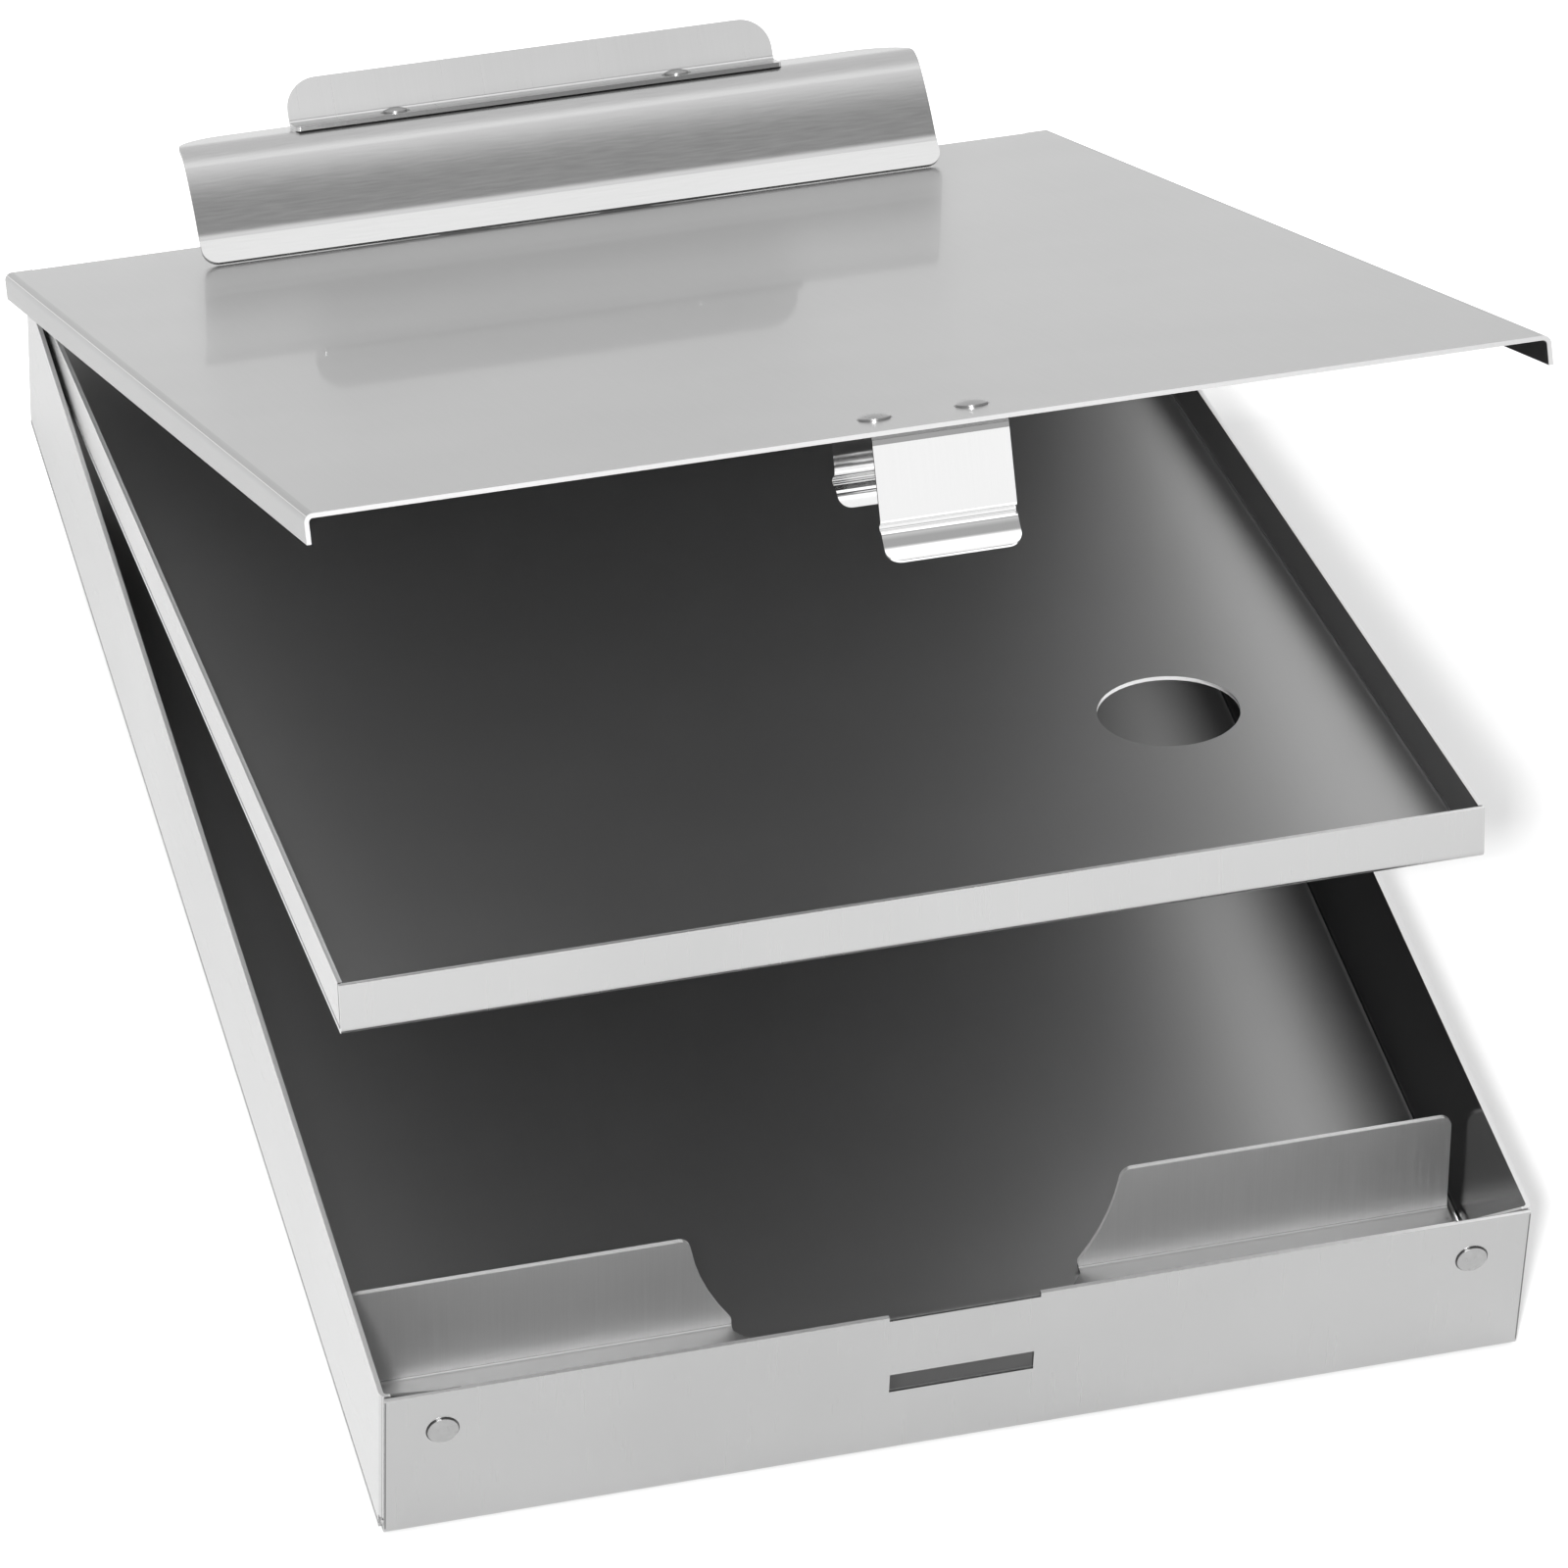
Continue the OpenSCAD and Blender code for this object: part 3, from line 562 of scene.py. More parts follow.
@dataclass
class Sleeve:
    """A tube round an axis along X, such as a rolled knuckle."""

    centre: Vector
    low: float
    high: float
    outer: float
    inner: float
    sides: int = 40

    def shell(self) -> Shell:
        """Builds the tube's closed surface.

        Returns:
            The vertices and the faces.
        """
        points, faces = [], []
        low, high, outer, inner = self.low, self.high, self.outer, self.inner
        for x, radius in ((low, outer), (high, outer), (high, inner), (low, inner)):
            for k in range(self.sides):
                points.append(Vector((x, *(self.centre + radius * ahead(2 * math.pi * k / self.sides)))))
        for ring in range(4):
            a, b = ring * self.sides, (ring + 1) % 4 * self.sides
            for k in range(self.sides):
                n = (k + 1) % self.sides
                faces.append((a + k, a + n, b + n, b + k))
        return points, faces


def fold_piece(node: str, body: str, shells: list, material: bpy.types.Material) -> None:
    """Joins closed surfaces, laid out on the shut lid, into one smooth piece that stands open with it.

    Args:
        node: the CAD node that it takes the place of.
        body: the body's name.
        shells: things with a shell method.
        material: the piece's material.
    """
    points, faces = [], []
    for part in shells:
        more, sides = part.shell()
        faces += [tuple(i + len(points) for i in side) for side in sides]
        points += more
    mesh = new_mesh(node + "_smooth", points, [], faces)
    mesh.transform(HINGE.opened(Lies.LID))
    mesh.materials.append(material)
    mesh.validate()
    shade(mesh)
    settle(link(mesh.name, mesh), node, body)


class NodeMaker(Nodes):
    """A Geometry Nodes tree with named inputs, used once for each piece and then made a plain mesh."""

    def __init__(self, name: str, inputs: dict[str, str]) -> None:
        """Starts a tree.

        Args:
            name: the tree's name.
            inputs: the kind of each input after the geometry, by the input's name.
        """
        super().__init__(bpy.data.node_groups.new(name, "GeometryNodeTree"))
        side = self.tree.interface
        for way in ("INPUT", "OUTPUT"):
            side.new_socket("Geometry", in_out=way, socket_type="NodeSocketGeometry")
        self.ids = {
            label: side.new_socket(label, in_out="INPUT", socket_type="NodeSocket" + kind).identifier
            for label, kind in inputs.items()
        }
        self.source, self.end = self.add("NodeGroupInput"), self.add("NodeGroupOutput")

    def given(self, label: str) -> Socket:
        """Returns the tree's named input."""
        return self.source.outputs[label]

    def finish(self, geometry: Socket) -> None:
        """Ends the tree with Realize Instances and Set Material."""
        real = self.add("GeometryNodeRealizeInstances", {"Geometry": geometry}).outputs[0]
        dressed = self.add("GeometryNodeSetMaterial", {"Geometry": real, "Material": self.given("Material")})
        self.tree.links.new(dressed.outputs[0], self.end.inputs[0])

    def run(self, name: str, mesh: bpy.types.Mesh, values: dict) -> bpy.types.Object:
        """Runs the tree on a mesh and keeps the result as a plain mesh.

        Args:
            name: the new piece's name.
            mesh: what the tree starts from.
            values: a value for each named input.

        Returns:
            The piece, at the origin and without a modifier.
        """
        holder = link(name + "_source", mesh)
        modifier = holder.modifiers.new("nodes", "NODES")
        modifier.node_group = self.tree
        for label, value in values.items():
            modifier[self.ids[label]] = value
        evaluated = holder.evaluated_get(bpy.context.evaluated_depsgraph_get())
        made = link(name, bpy.data.meshes.new_from_object(evaluated))
        bpy.data.objects.remove(holder)
        shade(made.data)
        return made


RIVET_SIZES = ("head_radius", "head_height", "shank_radius", "grip", "tail_radius", "tail_height")
RIVET_RIM = 0.4  # the share of a head's height that is straight, below its dome
HEAD_SIDES, HEAD_RINGS, SHANK_SIDES = 40, 8, 32


@dataclass
class RivetPair:
    """Two like rivets of one body: domed head up, shank through the sheets and a set tail below.

    The spot is halfway between the two seats of the heads, on the shut body, and the tilt is from upright.
    """

    node: str
    body: str
    spot: Point
    half_span: float
    grip: float
    lies: Lies = Lies.LID
    tilt: float = 0.0
    head_radius: float = 3.1 * MM
    head_height: float = 1.0 * MM
    shank_radius: float = 1.5 * MM
    tail_radius: float = 2.325 * MM
    tail_height: float = 0.7 * MM

    def seats(self) -> tuple[Point, ...]:
        """Returns the places of both heads' seats on the shut body."""
        x, y, z = self.spot
        return tuple((x + m * self.half_span, y, z) for m in (-1, 1))

    @staticmethod
    def maker() -> NodeMaker:
        """Builds the tree that draws a rivet and sets one at every point.

        Returns:
            The tree's maker.
        """
        inputs = {**dict.fromkeys(RIVET_SIZES, "Float"), "Turn": "Vector", "Material": "Material"}
        tree = NodeMaker("rivets", inputs)
        radius, height = tree.given("head_radius"), tree.given("head_height")
        lip = tree.product(height, RIVET_RIM)
        disc = tree.add(
            "GeometryNodeMeshCylinder",
            {"Vertices": HEAD_SIDES, "Fill Segments": HEAD_RINGS, "Radius": radius, "Depth": lip},
        )
        x, y, z = tree.split(tree.add("GeometryNodeInputPosition").outputs[0])
        out = tree.math("ADD", tree.math("POWER", x, 2.0), tree.math("POWER", y, 2.0))
        share = tree.math("DIVIDE", out, tree.math("POWER", radius, 2.0))
        crown = tree.product(tree.math("SUBTRACT", 1.0, share), tree.product(height, 1 - RIVET_RIM))
        dome = tree.product(crown, tree.math("GREATER_THAN", z, 0.0))
        rise = tree.add("ShaderNodeCombineXYZ", {"Z": tree.math("ADD", dome, tree.product(lip, 0.5))})
        head = tree.add("GeometryNodeSetPosition", {"Geometry": disc.outputs["Mesh"], "Offset": rise.outputs[0]})
        parts = [head]
        grip, tail = tree.given("grip"), tree.given("tail_height")
        for wide, deep, top in (("shank_radius", grip, 0.0), ("tail_radius", tail, grip)):
            sizes = {"Vertices": SHANK_SIDES, "Radius": tree.given(wide), "Depth": deep}
            bar = tree.add("GeometryNodeMeshCylinder", sizes).outputs["Mesh"]
            down = tree.math("SUBTRACT", tree.product(deep, -0.5), top)
            move = tree.add("ShaderNodeCombineXYZ", {"Z": down}).outputs[0]
            parts.append(tree.add("GeometryNodeTransform", {"Geometry": bar, "Translation": move}))
        joined = tree.add("GeometryNodeJoinGeometry")
        for part in parts:
            tree.tree.links.new(part.outputs[0], joined.inputs[0])
        placed = tree.add(
            "GeometryNodeInstanceOnPoints",
            {"Points": tree.given("Geometry"), "Instance": joined.outputs[0], "Rotation": tree.given("Turn")},
        )
        tree.finish(placed.outputs[0])
        return tree

    def build(self, tree: NodeMaker, material: bpy.types.Material) -> None:
        """Sets the two rivets in place of the CAD ones.

        Args:
            tree: the rivets' tree.
            material: their material.
        """
        opened = HINGE.opened(self.lies)
        name = self.node + "_dressed"
        points = new_mesh(name + "_points", [opened @ Vector(seat) for seat in self.seats()], [], [])
        values = {label: getattr(self, label) for label in RIVET_SIZES}
        values |= {"Turn": (self.tilt - HINGE.angle(self.lies), 0, 0), "Material": material}
        settle(tree.run(name, points, values), self.node, self.body)


@dataclass
class Box:
    """The folded box with its paper stop, corner rivets and hinge pin."""

    width: float = 235 * MM
    length: float = 355 * MM
    height: float = 37.4 * MM
    sheet: float = SHEET
    flap: float = 16 * MM
    flap_gap: float = 0.15 * MM
    flap_line: Span = (0.72 * MM, 1.35 * MM)
    corner_line: Span = (0.5 * MM, 0.9 * MM)
    corner_deep: float = 0.1125 * MM
    ledge_top: float = 2.25 * MM
    rivet_side: float = 12.2 * MM
    rivet_height: float = 27.1 * MM

    # the box's dark lines are its real seams and flap gaps
    def seams_and_shade(self) -> tuple[Area, ...]:
        """Lays out the dark lines beside the front corners and in the gaps of the corner flaps.

        Returns:
            The areas of the lines.
        """
        half, front, skin = self.width / 2, self.length / 2, self.sheet / 2
        found = []
        for m in (-1, 1):
            near = tuple(m * (half - line) for line in self.corner_line)
            behind = tuple(-front + line for line in self.flap_line)
            top = (self.height - 2 * self.sheet, self.height + skin)
            found += [
                Area(near, (-front - skin, -front + self.corner_deep), (2 * self.sheet, self.height - skin)),
                Area((m * half, m * (half - self.flap)), behind, top),
            ]
        return tuple(found)

    def dress(self) -> None:
        """Gives the CAD shapes their finishes, with painted light, shade and highlights."""
        half, front, skin = self.width / 2, self.length / 2, self.sheet / 2
        # painted light on the inside, and painted shade on its upright walls
        inside = Area((-half + skin, half - skin), (-front + skin, front - skin), (skin, self.height))
        # painted highlight along the top rims
        rim_highlight = Area((-half, half), (-front, front), (self.height - HAIR, self.height + skin))
        # painted shade rings round the corner rivets
        seats = tuple(seat for pair in self.rivets() for seat in pair.seats())
        # the side walls get painted light; the dark lines are real seams
        Metal(
            "brushed_sheet", "sheet", 0.445, 0.27, grain=0.008, grain_depth=0.002 * MM, stretch=0.3,
            side_painted_light=1.29, inner=(inside,), inner_painted_light=1.42, inner_rough=0.09, wall_painted_shade=0.12,
            edges=(rim_highlight,), edge_painted_highlight=1.95, seams_and_shade=self.seams_and_shade(), seats=seats,
        ).dress("base_box")
        tall = max(v.co.z for v in frame["nodes"]["paper_stop"].data.vertices)
        # painted highlight along the paper stop's crest
        crest_highlight = Area((-half, half), (-front, front), (tall - skin / 2, tall + skin))
        # painted shade on the paper stop's ledge
        ledge_shade = Area((-half, half), (-front, front), (0, self.ledge_top))
        Metal(
            "stop_sheet", "sheet_inner", 0.92, 0.56, grain=0.02, grain_depth=0.004 * MM, stretch=0.3,
            inner=(ledge_shade,), inner_painted_light=0.39, edges=(crest_highlight,), edge_painted_highlight=1.5,
        ).dress("paper_stop")
        Metal("pin", "pin_steel", 0.5, 0.3, grain_across=400).dress("hinge_pin")

    def rivets(self) -> list[RivetPair]:
        """Returns the corner rivets of the front and rear walls."""
        grip, half = 2 * self.sheet + self.flap_gap, self.width / 2 - self.rivet_side
        return [
            RivetPair(f"{name}_corner_rivets", "box", (0, side * self.length / 2, self.rivet_height), half, grip,
                      lies=Lies.SHUT, tilt=-side * math.pi / 2)
            for name, side in (("front", -1), ("rear", 1))
        ]


@dataclass
class Tray:
    """The middle tray."""

    width: float = 231.6 * MM
    low: float = 25.5 * MM
    wall: float = 11.4 * MM
    sheet: float = SHEET
    front: float = -141.5 * MM
    rear: float = 173.5 * MM
    hole: Span = (73.2 * MM, -67 * MM)
    hole_radius: float = 14.8 * MM
    # height of the painted highlight along the front's bottom bend
    bend_tall: float = 0.63 * MM

    def dress(self) -> None:
        """Gives the CAD shape its finish, with painted light and highlights."""
        half, skin, top = self.width / 2, self.sheet / 2, self.low + self.wall
        inside = Area((-half + skin, half - skin), (self.front + skin, self.rear), (self.low + skin, top))
        # painted highlight along the top rims
        rim_highlight = Area((-half, half), (self.front, self.rear - self.sheet), (top - HAIR, top + skin))
        (x, y), r = self.hole, self.hole_radius
        # painted highlight round the hole's edge
        ring = Area((x - r, x + r), (y - r, y + r), (self.low + HAIR, self.low + self.sheet - HAIR))
        # painted highlight along the bottom bend at the front
        bend = Area((-half, half), (self.front - skin, self.front + skin / 2),
                    (self.low - skin, self.low + self.bend_tall))
        # the side walls get painted light
        Metal(
            "tray_sheet", "sheet", 0.485, 0.27, grain=0.008, grain_depth=0.002 * MM, stretch=0.28,
            side_painted_light=1.25, inner=(inside,), inner_rough=0.1, edges=(rim_highlight, ring, bend), edge_painted_highlight=1.85,
            lies=Lies.TRAY,
        ).dress("middle_tray")


@dataclass
class Lid:
    """The lid plate with the latch and its rivets."""

    width: float = 242 * MM
    front: float = -180.5 * MM
    top: float = 38.6 * MM
    sheet: float = SHEET
    flange: float = 5.8 * MM
    # width of the painted shade along each side fold
    bend_wide: float = 1.44 * MM
    latch_width: float = 26.6 * MM
    latch_sheet: float = 0.5 * MM
    latch_shift: float = 1.2 * MM
    latch_bend: float = 1.5 * MM
    latch_round: float = 3 * MM
    # how far down the latch's top bend the painted shade reaches
    latch_bend_shade: float = 2.1 * MM
    rivet_span: float = 19 * MM
    rivet_y: float = -165.9 * MM
    slot_height: float = 19 * MM
    slot_tall: float = 4.8 * MM
    tray_level: float = Tray.low
    ridge_ramp: float = 65.0
    ridge_bend: float = 0.8 * MM
    ridge_depth: float = 1.4 * MM
    lip_flare: float = 35.0
    lip: float = 5.8 * MM
    lip_curl: float = 36.0
    catch_gap: float = 2.6 * MM
    catch_drop: float = 2.0 * MM
    rear_tail: float = 2.6 * MM

    def dress(self) -> None:
        """Gives the CAD shapes their finishes, with painted light, shade and highlights."""
        half, skin = self.width / 2, self.sheet / 2
        length, face = (self.front + skin, -self.front), (self.top - skin, self.top + skin)
        # painted highlights along the front cut edge and the flanges' lower edges
        rim_highlights = (
            Area((-half, half), (self.front - skin, self.front + HAIR), (0, self.top)),
            Area((-half, half), (self.front, -self.front), (0, self.top - self.flange + HAIR)),
        )
        # painted light on the underside
        under = Area((-half + skin, half - skin), length, (0, self.top - skin))
        # painted shade along the folds between the top and the side flanges
        bend = (half - skin - self.bend_wide, half - skin)
        bends = tuple(Area(tuple(m * x for x in bend), length, face) for m in (-1, 1))
        Metal(
            "lid_sheet", "sheet", 0.36, 0.34, grain=0.02, grain_depth=0.003 * MM, coat=0.24, inner=(under,),
            inner_painted_light=1.67, inner_rough=0.1, edges=rim_highlights, edge_painted_highlight=1.45, seams_and_shade=bends, seam_and_shade_tone=0.78,
            # painted shade rings round the latch rivets
            seats=self.rivets()[0].seats(), lies=Lies.LID,
        ).dress("lid_plate")
        self.chrome().dress("latch_web")

    def chrome(self) -> Metal:
        """Returns the latch's bright plated finish, with painted shade along the bend under the lid."""
        half, under = self.width / 2, self.top - self.sheet
        # painted shade on the latch's top bend under the lid
        bend = Area((-half, half), (self.front - self.sheet, self.rivet_y),
                    (under - self.latch_bend_shade, under + self.sheet / 2))
        return Metal(
            "bright_latch", "latch_chrome", 0.94, 0.05, grain=0.008, grain_depth=0.001 * MM, cloud=0.02,
            seams_and_shade=(bend,), lies=Lies.LID,
        )

    def flank(self, depth: float) -> float:
        """Returns the length of a ridge's straight flank, from how far the ridge stands out."""
        ramp = math.radians(self.ridge_ramp)
        return (depth - 2 * self.ridge_bend * (1 - math.cos(ramp))) / math.sin(ramp)

    def ridge_span(self, depth: float) -> float:
        """Returns a ridge's height along its leg, from how far the ridge stands out."""
        ramp = math.radians(self.ridge_ramp)
        return 4 * self.ridge_bend * math.sin(ramp) + 2 * self.flank(depth) * math.cos(ramp)

    def ridge(self, down: float, depth: float, flare: float, tail: float, curl: float) -> list[Step]:
        """Lays out a latch leg below its top bend, with its ridge to the rear.

        Args:
            down: the straight run above the ridge.
            depth: how far the ridge stands out.
            flare: the tail's flare in degrees.
            tail: the tail's length.
            curl: how far, in degrees, the tail curls along its length.

        Returns:
            The steps.
        """
        ramp, bend, flank = self.ridge_ramp, self.ridge_bend, self.flank(depth)
        return [
            Step(down, ramp, bend),
            Step(flank, -2 * ramp, bend),
            Step(flank, ramp - flare + curl / 2, bend),
            Step(0, -curl, tail / math.radians(curl)) if curl else Step(tail),
        ]

    def legs(self, material: bpy.types.Material) -> None:
        """Builds the latch's two smooth legs.

        Args:
            material: the latch's material.
        """
        middle, depth = self.latch_bend - self.latch_sheet / 2, self.catch_gap + self.latch_sheet
        hubs = [HINGE.shut(Lies.LID, *joint(side + "_catch_flex")["pos_m"][1:]) for side in ("front", "rear")]
        down = hubs[0].y - self.slot_height - self.slot_tall / 2
        front = self.ridge(down, self.ridge_depth, self.lip_flare, self.lip, self.lip_curl)
        down = hubs[1].y - self.tray_level + self.catch_drop - self.ridge_span(depth) / 2
        rear = self.ridge(down, depth, 0, self.rear_tail, 0)
        for side, hub, turn, steps in (("front", hubs[0], 90, front), ("rear", hubs[1], -90, rear)):
            fold = Fold(hub + Vector((0, middle)), 90 + turn, [Step(0, turn, middle), *steps])
            strip = FoldedSheet(fold, self.latch_width, self.latch_sheet, self.latch_shift,
                                end_round=self.latch_round, fineness=5)
            fold_piece(f"latch_{side}_leg", side + "_catch", [strip], material)

    def rivets(self) -> list[RivetPair]:
        """Returns the two rivets that hold the latch."""
        spot, grip = (self.latch_shift, self.rivet_y, self.top), self.sheet + self.latch_sheet
        return [RivetPair("latch_rivets", "lid", spot, self.rivet_span / 2, grip)]


@dataclass
class Clip:
    """The paper clip: base, rod, spring, jaw and lever."""

    sheet: float = 1.0 * MM
    jaw_width: float = 168 * MM
    jaw_height: float = 24.7 * MM
    jaw_deep: float = 31.4 * MM
    jaw_bend: float = 9 * MM
    jaw_top_round: float = 12 * MM
    jaw_lip_round: float = 3.5 * MM
    web_lean: float = 28.0
    web_hollow: float = 6.0
    lip_lean: float = 36.0
    crease_height: float = 5.4 * MM
    crease_bend: float = 8.0 * MM
    rear_bend: float = 2.5 * MM
    fitting_rounds: int = 12
    lid_gap: float = 0.12 * MM
    clip_shift: float = 0.7 * MM
    jaw_shift: float = 1.9 * MM
    rod_radius: float = 1.5 * MM
    rod_fit: float = 0.05 * MM
    axis_height: float = 8 * MM
    knuckle: float = 12 * MM
    knuckle_gap: float = 0.4 * MM
    base_deep: float = 18 * MM
    base_rivet_in: float = 6 * MM
    lever_width: float = 111 * MM
    lever_height: float = 10.3 * MM
    lever_lean: float = 15.0
    lever_bend: float = 1.5 * MM
    lever_flange: float = 7 * MM
    lever_back: float = 9.8 * MM
    lever_foot_round: float = 1.0 * MM
    lever_round: float = 7 * MM
    # width of the painted shade along the flange's cut edge at the lever's foot
    lever_edge_shade: float = 0.1 * MM
    rivet_span: float = 64.4 * MM
    # width of the painted shade ring round each lever rivet head
    rivet_shade_ring: float = 0.7 * MM
    small_head: float = 2.635 * MM
    wire_radius: float = 0.6 * MM
    wire_sides: int = 12
    coil_gap: float = 0.45 * MM
    coil_turns: int = 12
    coil_marks: int = 24
    leg_lean: float = 6.0
    leg_down: float = 6.2 * MM
    axis: Vector = field(default_factory=lambda: HINGE.shut(Lies.LID, *joint("clip_pivot")["pos_m"][1:]))

    @property
    def lid_top(self) -> float:
        """Height of the shut lid's top face."""
        return self.axis.y - self.axis_height

    @property
    def rear(self) -> float:
        """Place of the jaw's rear face."""
        return self.axis.x + self.rod_radius + self.rod_fit + self.sheet

    @property
    def foot(self) -> float:
        """Height of the jaw's flat top, on which the lever stands."""
        return self.lid_top + self.jaw_height

    @property
    def lever_edge(self) -> float:
        """Place of the front edge of the lever's flange."""
        return self.rear - self.lever_back + self.small_head - self.lever_flange

    @property
    def base_half(self) -> float:
        """Half the width of the clip's base."""
        return 2 * self.knuckle + self.knuckle_gap

    @property
    def rod_half(self) -> float:
        """Half the length of the rod."""
        return self.base_half + self.knuckle_gap + self.knuckle

    def steel(self) -> Metal:
        """Returns the clip's fine-grained finish, with a painted highlight on the jaw's lip."""
        half = self.rod_half + self.jaw_width
        # painted highlight on the jaw's lip
        lip = Area((-half, half), (-half, half), (self.lid_top, self.lid_top + self.crease_height))
        return Metal(
            "clip_steel", "clip_steel", 0.5, 0.24, grain=0.04, grain_across=150, grain_along=2500,
            grain_depth=0.002 * MM, cloud=0.015, inner=(lip,), inner_painted_light=1.2, lies=Lies.LID,
        )

    def lever_steel(self) -> Metal:
        """Returns the lever's finish, with painted shade round its rivets and along the flange's cut edge."""
        edge = self.lever_edge
        # painted shade along the flange's cut edge at the lever's foot
        cut = Area((-self.lever_width, self.lever_width), (edge - self.sheet, edge + self.lever_edge_shade),
                   (self.foot - self.sheet, self.foot + 2 * self.sheet))
        return Metal(
            "lever_steel", "clip_steel", 0.63, 0.28, grain=0.01, grain_depth=0.0004 * MM, seams_and_shade=(cut,),
            # painted shade rings round the lever rivets
            seats=self.rivets()[0].seats(), seat_radius=self.small_head + self.rivet_shade_ring, lies=Lies.LID,
        )

    def jaw_fold(self) -> Fold:
        """Lays out the jaw from the rear edge of its flat top to its lip.

        The lengths of the web and the top are corrected until the lip ends where it should.

        Returns:
            The jaw's middle line.
        """
        lip = math.radians(self.lip_lean)
        bottom = self.lid_top + self.lid_gap + self.sheet / 2 * math.sin(lip)
        front = self.rear - self.jaw_deep + self.sheet / 2 * math.cos(lip)
        start = Vector((self.rear - self.sheet / 2 - self.rear_bend, self.foot - self.sheet / 2))
        lip_run = (self.crease_height - self.lid_gap) / math.cos(lip)
        upper, lower = self.web_lean + self.web_hollow, self.web_lean - self.web_hollow
        web, flat = start.y - bottom, 0.0
        for _ in range(self.fitting_rounds):
            steps = [
                Step(flat, 90 - upper, self.jaw_bend),
                Step(0, upper - lower, web / math.radians(upper - lower)),
                Step(0, lower - self.lip_lean, self.crease_bend),
                Step(lip_run),
            ]
            fold = Fold(start, 180, steps)
            end, _ = fold.at(fold.length())
            web += (end.y - bottom) / math.cos(math.radians(self.web_lean))
            flat += end.x - front
        return fold

    def jaw(self, material: bpy.types.Material) -> None:
        """Builds the jaw: its bent plate, two lugs and their knuckles.

        Args:
            material: the clip's material.
        """
        shells: list = [
            FoldedSheet(self.jaw_fold(), self.jaw_width, self.sheet, self.clip_shift + self.jaw_shift,
                        start_round=self.jaw_top_round, end_round=self.jaw_lip_round)
        ]
        rise = self.foot - self.sheet / 2 - self.rear_bend - self.axis.y
        bore = self.rod_radius + self.rod_fit
        for side in (-1, 1):
            x = self.clip_shift + side * (self.rod_half - self.knuckle / 2)
            start = Vector((self.rear - self.sheet / 2, self.axis.y))
            lug = Fold(start, 90, [Step(rise, 90, self.rear_bend), Step(self.rear_bend)])
            shells += [
                FoldedSheet(lug, self.knuckle, self.sheet, x),
                Sleeve(self.axis, x - self.knuckle / 2, x + self.knuckle / 2, bore + self.sheet, bore),
            ]
        fold_piece("clip_jaw", "clip", shells, material)

    def lever(self, material: bpy.types.Material) -> None:
        """Builds the lever that stands behind the jaw.

        Args:
            material: the lever's material.
        """
        lean = math.radians(self.lever_lean)
        rise = (self.lever_height - self.sheet / 2 - self.lever_bend * (1 - math.sin(lean))) / math.cos(lean)
        start = Vector((self.lever_edge, self.foot + self.sheet / 2))
        fold = Fold(start, 0, [Step(self.lever_flange, 90 - self.lever_lean, self.lever_bend), Step(rise)])
        strip = FoldedSheet(fold, self.lever_width, self.sheet, self.clip_shift,
                            start_round=self.lever_foot_round, end_round=self.lever_round)
        fold_piece("clip_lever", "clip", [strip], material)

    def rivets(self) -> list[RivetPair]:
        """Returns the rivets of the lever and of the base."""
        x, base_y = self.clip_shift, 2 * self.axis.x - self.rear - self.base_deep / 2
        return [
            RivetPair("lever_rivets", "clip", (x, self.rear - self.lever_back, self.foot + self.sheet),
                      self.rivet_span / 2, 2 * self.sheet, head_radius=self.small_head),
            RivetPair("clip_base_rivets", "lid", (x, base_y, self.lid_top + self.sheet),
                      self.base_half - self.base_rivet_in, self.sheet + SHEET, head_radius=self.small_head),
        ]

    def spring(self, material: bpy.types.Material) -> None:
        """Winds the spring round the rod with Geometry Nodes.

        Args:
            material: the spring's material.
        """
        tree = NodeMaker("wound_wire", {"Wire Radius": "Float", "Material": "Material"})
        line = tree.add("GeometryNodeMeshToCurve", {"Mesh": tree.given("Geometry")}).outputs[0]
        circle = {"Resolution": self.wire_sides, "Radius": tree.given("Wire Radius")}
        ring = tree.add("GeometryNodeCurvePrimitiveCircle", circle).outputs[0]
        tube = tree.add("GeometryNodeCurveToMesh", {"Curve": line, "Profile Curve": ring, "Fill Caps": True})
        tree.finish(tube.outputs[0])
        radius = self.rod_radius + self.coil_gap / 2 + self.wire_radius
        pitch = 2 * self.wire_radius + self.coil_gap
        whole, count = self.coil_turns * 360 + self.leg_lean, self.coil_turns * self.coil_marks
        coil = []
        for turned in (whole * k / count for k in range(count + 1)):
            x = self.clip_shift + pitch * (turned / 360 - self.coil_turns / 2)
            coil.append(Vector((x, *(self.axis + radius * ahead(math.radians(turned))))))
        up = self.foot - self.axis.y - self.sheet / 2
        route = [coil[0] - Vector((0, 0, self.leg_down)), *coil]
        route.append(coil[-1] + up * Vector((0, *beside(math.radians(self.leg_lean)))))
        mesh = new_mesh("spring_route", route, [(i, i + 1) for i in range(len(route) - 1)], [])
        mesh.transform(HINGE.opened(Lies.LID))
        made = tree.run("clip_spring_smooth", mesh, {"Wire Radius": self.wire_radius, "Material": material})
        settle(made, "clip_spring", "clip")

    def dress(self) -> None:
        """Gives the CAD shapes of base and rod their finishes."""
        Metal("base_steel", "clip_steel", 0.6, 0.3, lies=Lies.LID).dress("clip_base")
        Metal("rod_steel", "pin_steel", 0.55, 0.25, grain_across=400, lies=Lies.LID).dress("clip_rod")


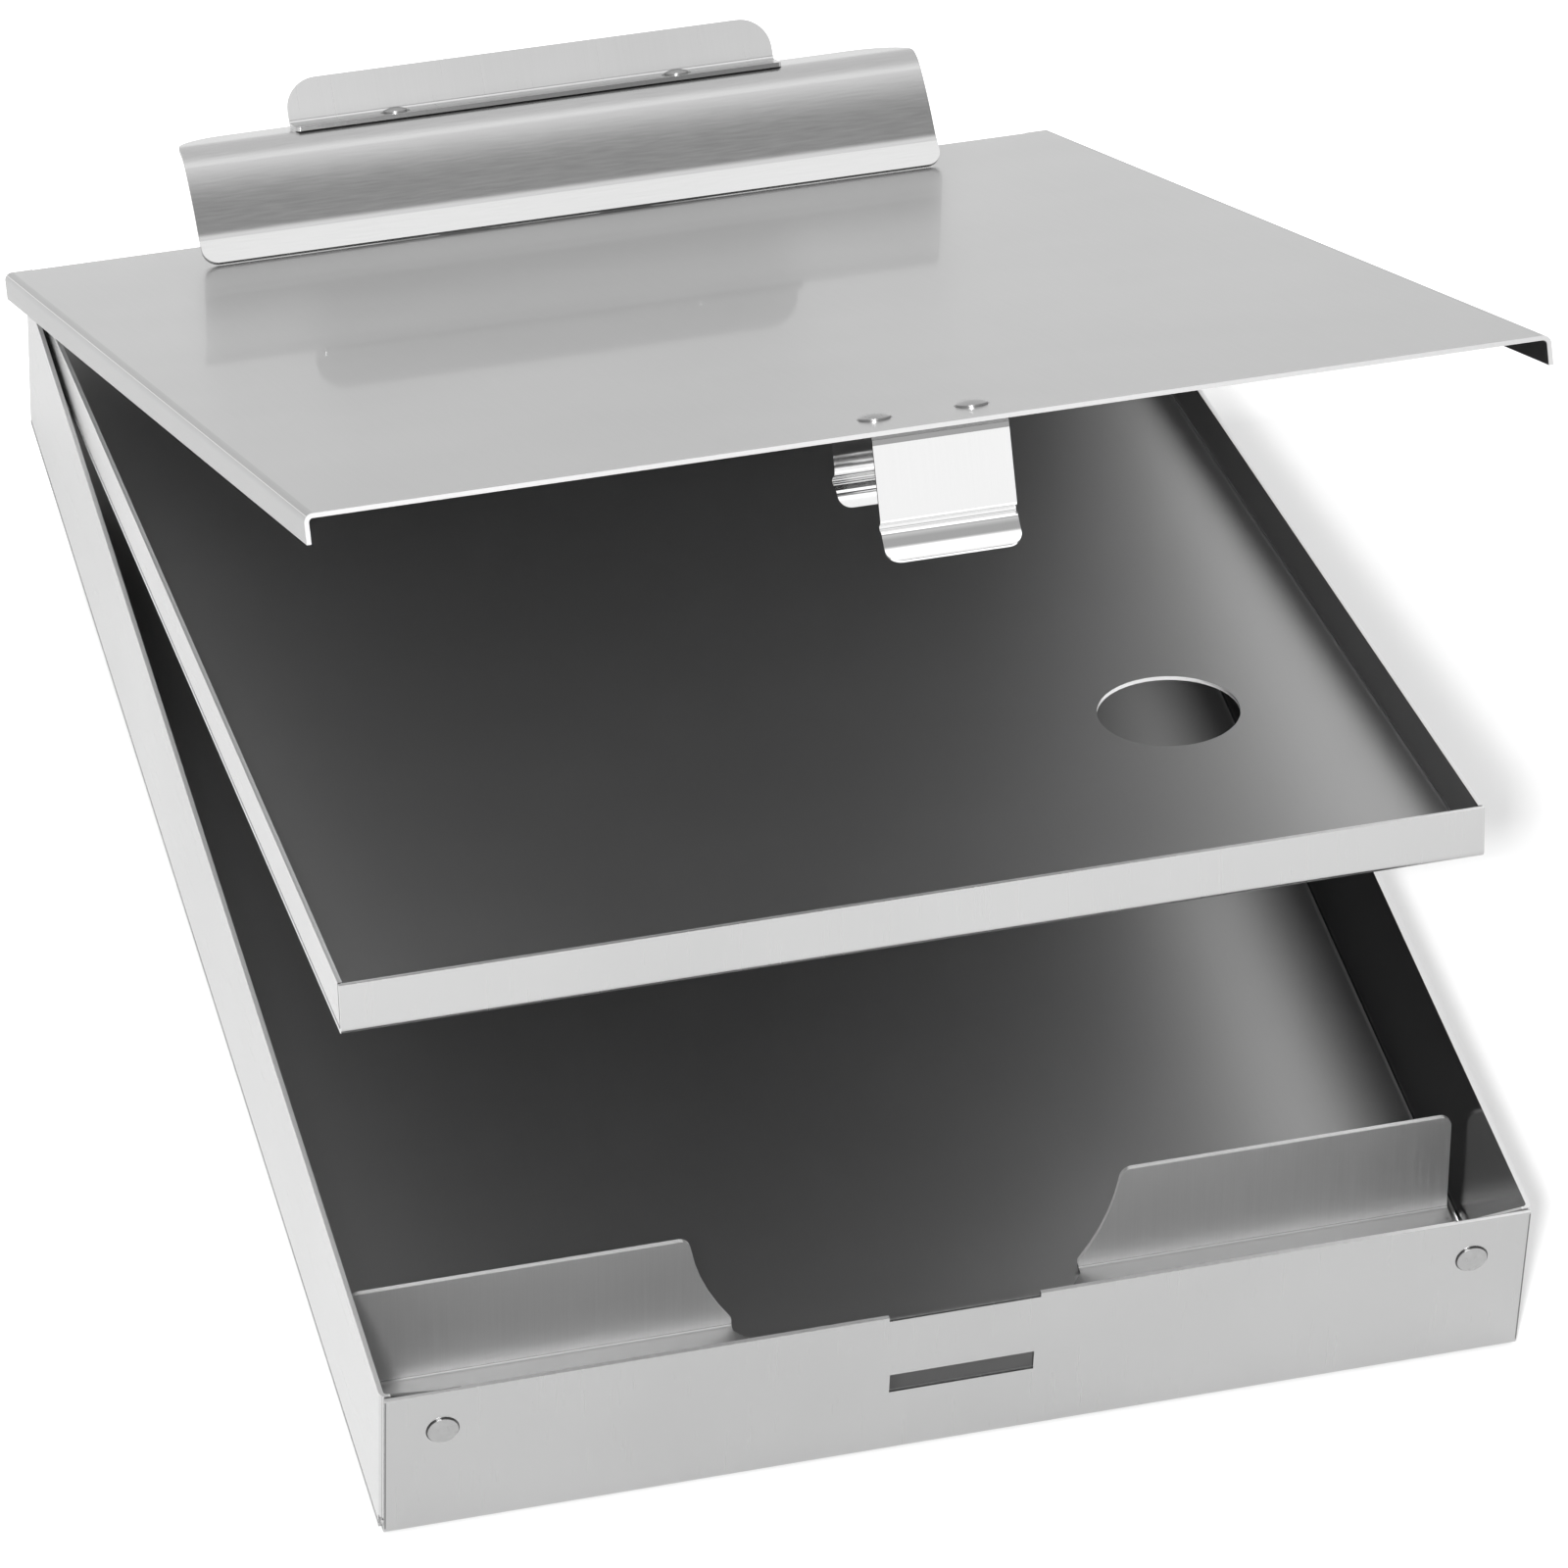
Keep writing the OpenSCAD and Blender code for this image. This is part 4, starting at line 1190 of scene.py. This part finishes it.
@dataclass
class Studio:
    """The floor, the lights and the camera at the photograph's angle."""

    camera_place: Point = (-0.395056, -1.385231, 1.302159)
    camera_reach: float = 50.0
    yaw: float = 16.3172
    pitch: float = 41.6531
    roll: float = -2.3434
    focal_pixels: float = 9302.97
    frame_pixels: float = 1600.0
    sensor: float = 36.0
    floor_size: float = 12.0
    floor_drop: float = 0.2 * MM
    floor_white: float = 0.8
    lift: Span = (0.12, 0.8)
    lift_behind: Span = (0.115, 0.17)
    lift_around: Span = (0.26, 0.4)
    sky_low: float = 0.95
    sky_height: Span = (0.76, 0.88)
    sky_front: Span = (-0.16, 0.05)
    sky_front_light: Span = (0.4, 1.5)
    sky_rear: Span = (0.2, 0.5)
    sky_rear_light: Span = (1.5, 1.0)
    key_place: Point = (-0.508, -1.39, 1.27)
    key_size: float = 0.12
    key_power: float = 25.0

    def camera(self) -> None:
        """Places the camera."""
        lens = bpy.data.cameras.new("camera")
        lens.sensor_width = self.sensor
        lens.lens = self.focal_pixels / self.frame_pixels * self.sensor
        lens.clip_end = self.camera_reach
        made = link("camera", lens)
        made.matrix_world = Matrix.Translation(self.camera_place)
        for angle, axis in ((-self.yaw, "Z"), (90 - self.pitch, "X"), (-self.roll, "Z")):
            made.matrix_world = made.matrix_world @ Matrix.Rotation(math.radians(angle), 4, axis)
        bpy.context.scene.camera = made

    def floor(self) -> None:
        """Lays a white floor that keeps the object's shadow, lifted towards white away from the object."""
        half = self.floor_size / 2
        corners = [(x * half, y * half, -self.floor_drop) for x, y in ((-1, -1), (1, -1), (1, 1), (-1, 1))]
        mesh = new_mesh("floor", corners, [], [(0, 1, 2, 3)])
        white = bpy.data.materials.new("white_floor")
        white.use_nodes = True
        nodes = ShaderNodes(white.node_tree)
        rays = nodes.add("ShaderNodeLightPath").outputs
        spot = nodes.add("ShaderNodeTexCoord").outputs["Object"]
        apart = nodes.add("ShaderNodeVectorMath", {"Vector": spot}, operation="LENGTH").outputs["Value"]
        behind = nodes.remap(nodes.split(spot)[1], self.lift_behind, self.lift)
        around = nodes.remap(apart, self.lift_around, self.lift)
        seen = nodes.product(rays["Is Camera Ray"], nodes.math("MAXIMUM", behind, around))
        mirrored = nodes.math("MAXIMUM", rays["Is Glossy Ray"], rays["Is Transmission Ray"])
        glow = nodes.math("MAXIMUM", seen, nodes.product(mirrored, self.lift[0]))
        paint = nodes.add("ShaderNodeBsdfDiffuse", {"Color": (*[self.floor_white] * 3, 1)}).outputs[0]
        light = nodes.add("ShaderNodeEmission", {"Strength": glow}).outputs[0]
        both = nodes.add("ShaderNodeAddShader", {0: paint, 1: light}).outputs[0]
        nodes.add("ShaderNodeOutputMaterial", {"Surface": both})
        mesh.materials.append(white)
        link("floor", mesh)

    def sky(self) -> None:
        """Makes soft surroundings: even low down, and overhead dim in front and bright above the object."""
        world = bpy.data.worlds.new("soft_room")
        bpy.context.scene.world = world
        world.use_nodes = True
        nodes = ShaderNodes(world.node_tree)
        _, y, z = nodes.split(nodes.add("ShaderNodeTexCoord").outputs["Generated"])
        front = nodes.remap(y, self.sky_front, self.sky_front_light)
        rear = nodes.remap(y, self.sky_rear, self.sky_rear_light)
        above = nodes.remap(z, self.sky_height, (0.0, 1.0))
        level = nodes.mix(above, self.sky_low, nodes.math("MINIMUM", front, rear))
        back = nodes.add("ShaderNodeBackground", {"Color": (1, 1, 1, 1), "Strength": level})
        nodes.add("ShaderNodeOutputWorld", {"Surface": back.outputs[0]})

    def key(self) -> None:
        """Hangs a soft square lamp near the camera, facing the object."""
        light = bpy.data.lights.new("key", "AREA")
        light.shape = "RECTANGLE"
        light.size = light.size_y = self.key_size
        light.energy = self.key_power
        aim = (-Vector(self.key_place)).to_track_quat("-Z", "Y").to_matrix().to_4x4()
        link("key", light).matrix_world = Matrix.Translation(self.key_place) @ aim

    def build(self) -> None:
        """Sets up the camera, the floor, the surroundings and the lamp."""
        self.camera()
        self.floor()
        self.sky()
        self.key()
        bpy.context.scene.view_settings.view_transform = "Standard"


def main() -> None:
    """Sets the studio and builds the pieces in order."""
    logging.basicConfig(level=logging.INFO, format="%(name)s: %(message)s")
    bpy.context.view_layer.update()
    Studio().build()
    box, tray, lid, clip = Box(), Tray(), Lid(), Clip()
    rivet = Metal("rivet_head", "rivet", 0.37, 0.3, grain_across=900, grain_along=900, cloud=0.05).material()
    steel = clip.steel().material()
    rows = RivetPair.maker()
    box.dress()
    for pair in box.rivets():
        pair.build(rows, rivet)
    tray.dress()
    lid.dress()
    lid.legs(lid.chrome().material())
    for pair in lid.rivets():
        pair.build(rows, rivet)
    clip.dress()
    clip.jaw(steel)
    clip.lever(clip.lever_steel().material())
    for pair in clip.rivets():
        pair.build(rows, rivet)
    clip.spring(Metal("spring_wire", "pin_steel", 0.5, 0.25, grain_across=600, lies=Lies.LID).material())


if __name__ == "__main__":
    main()
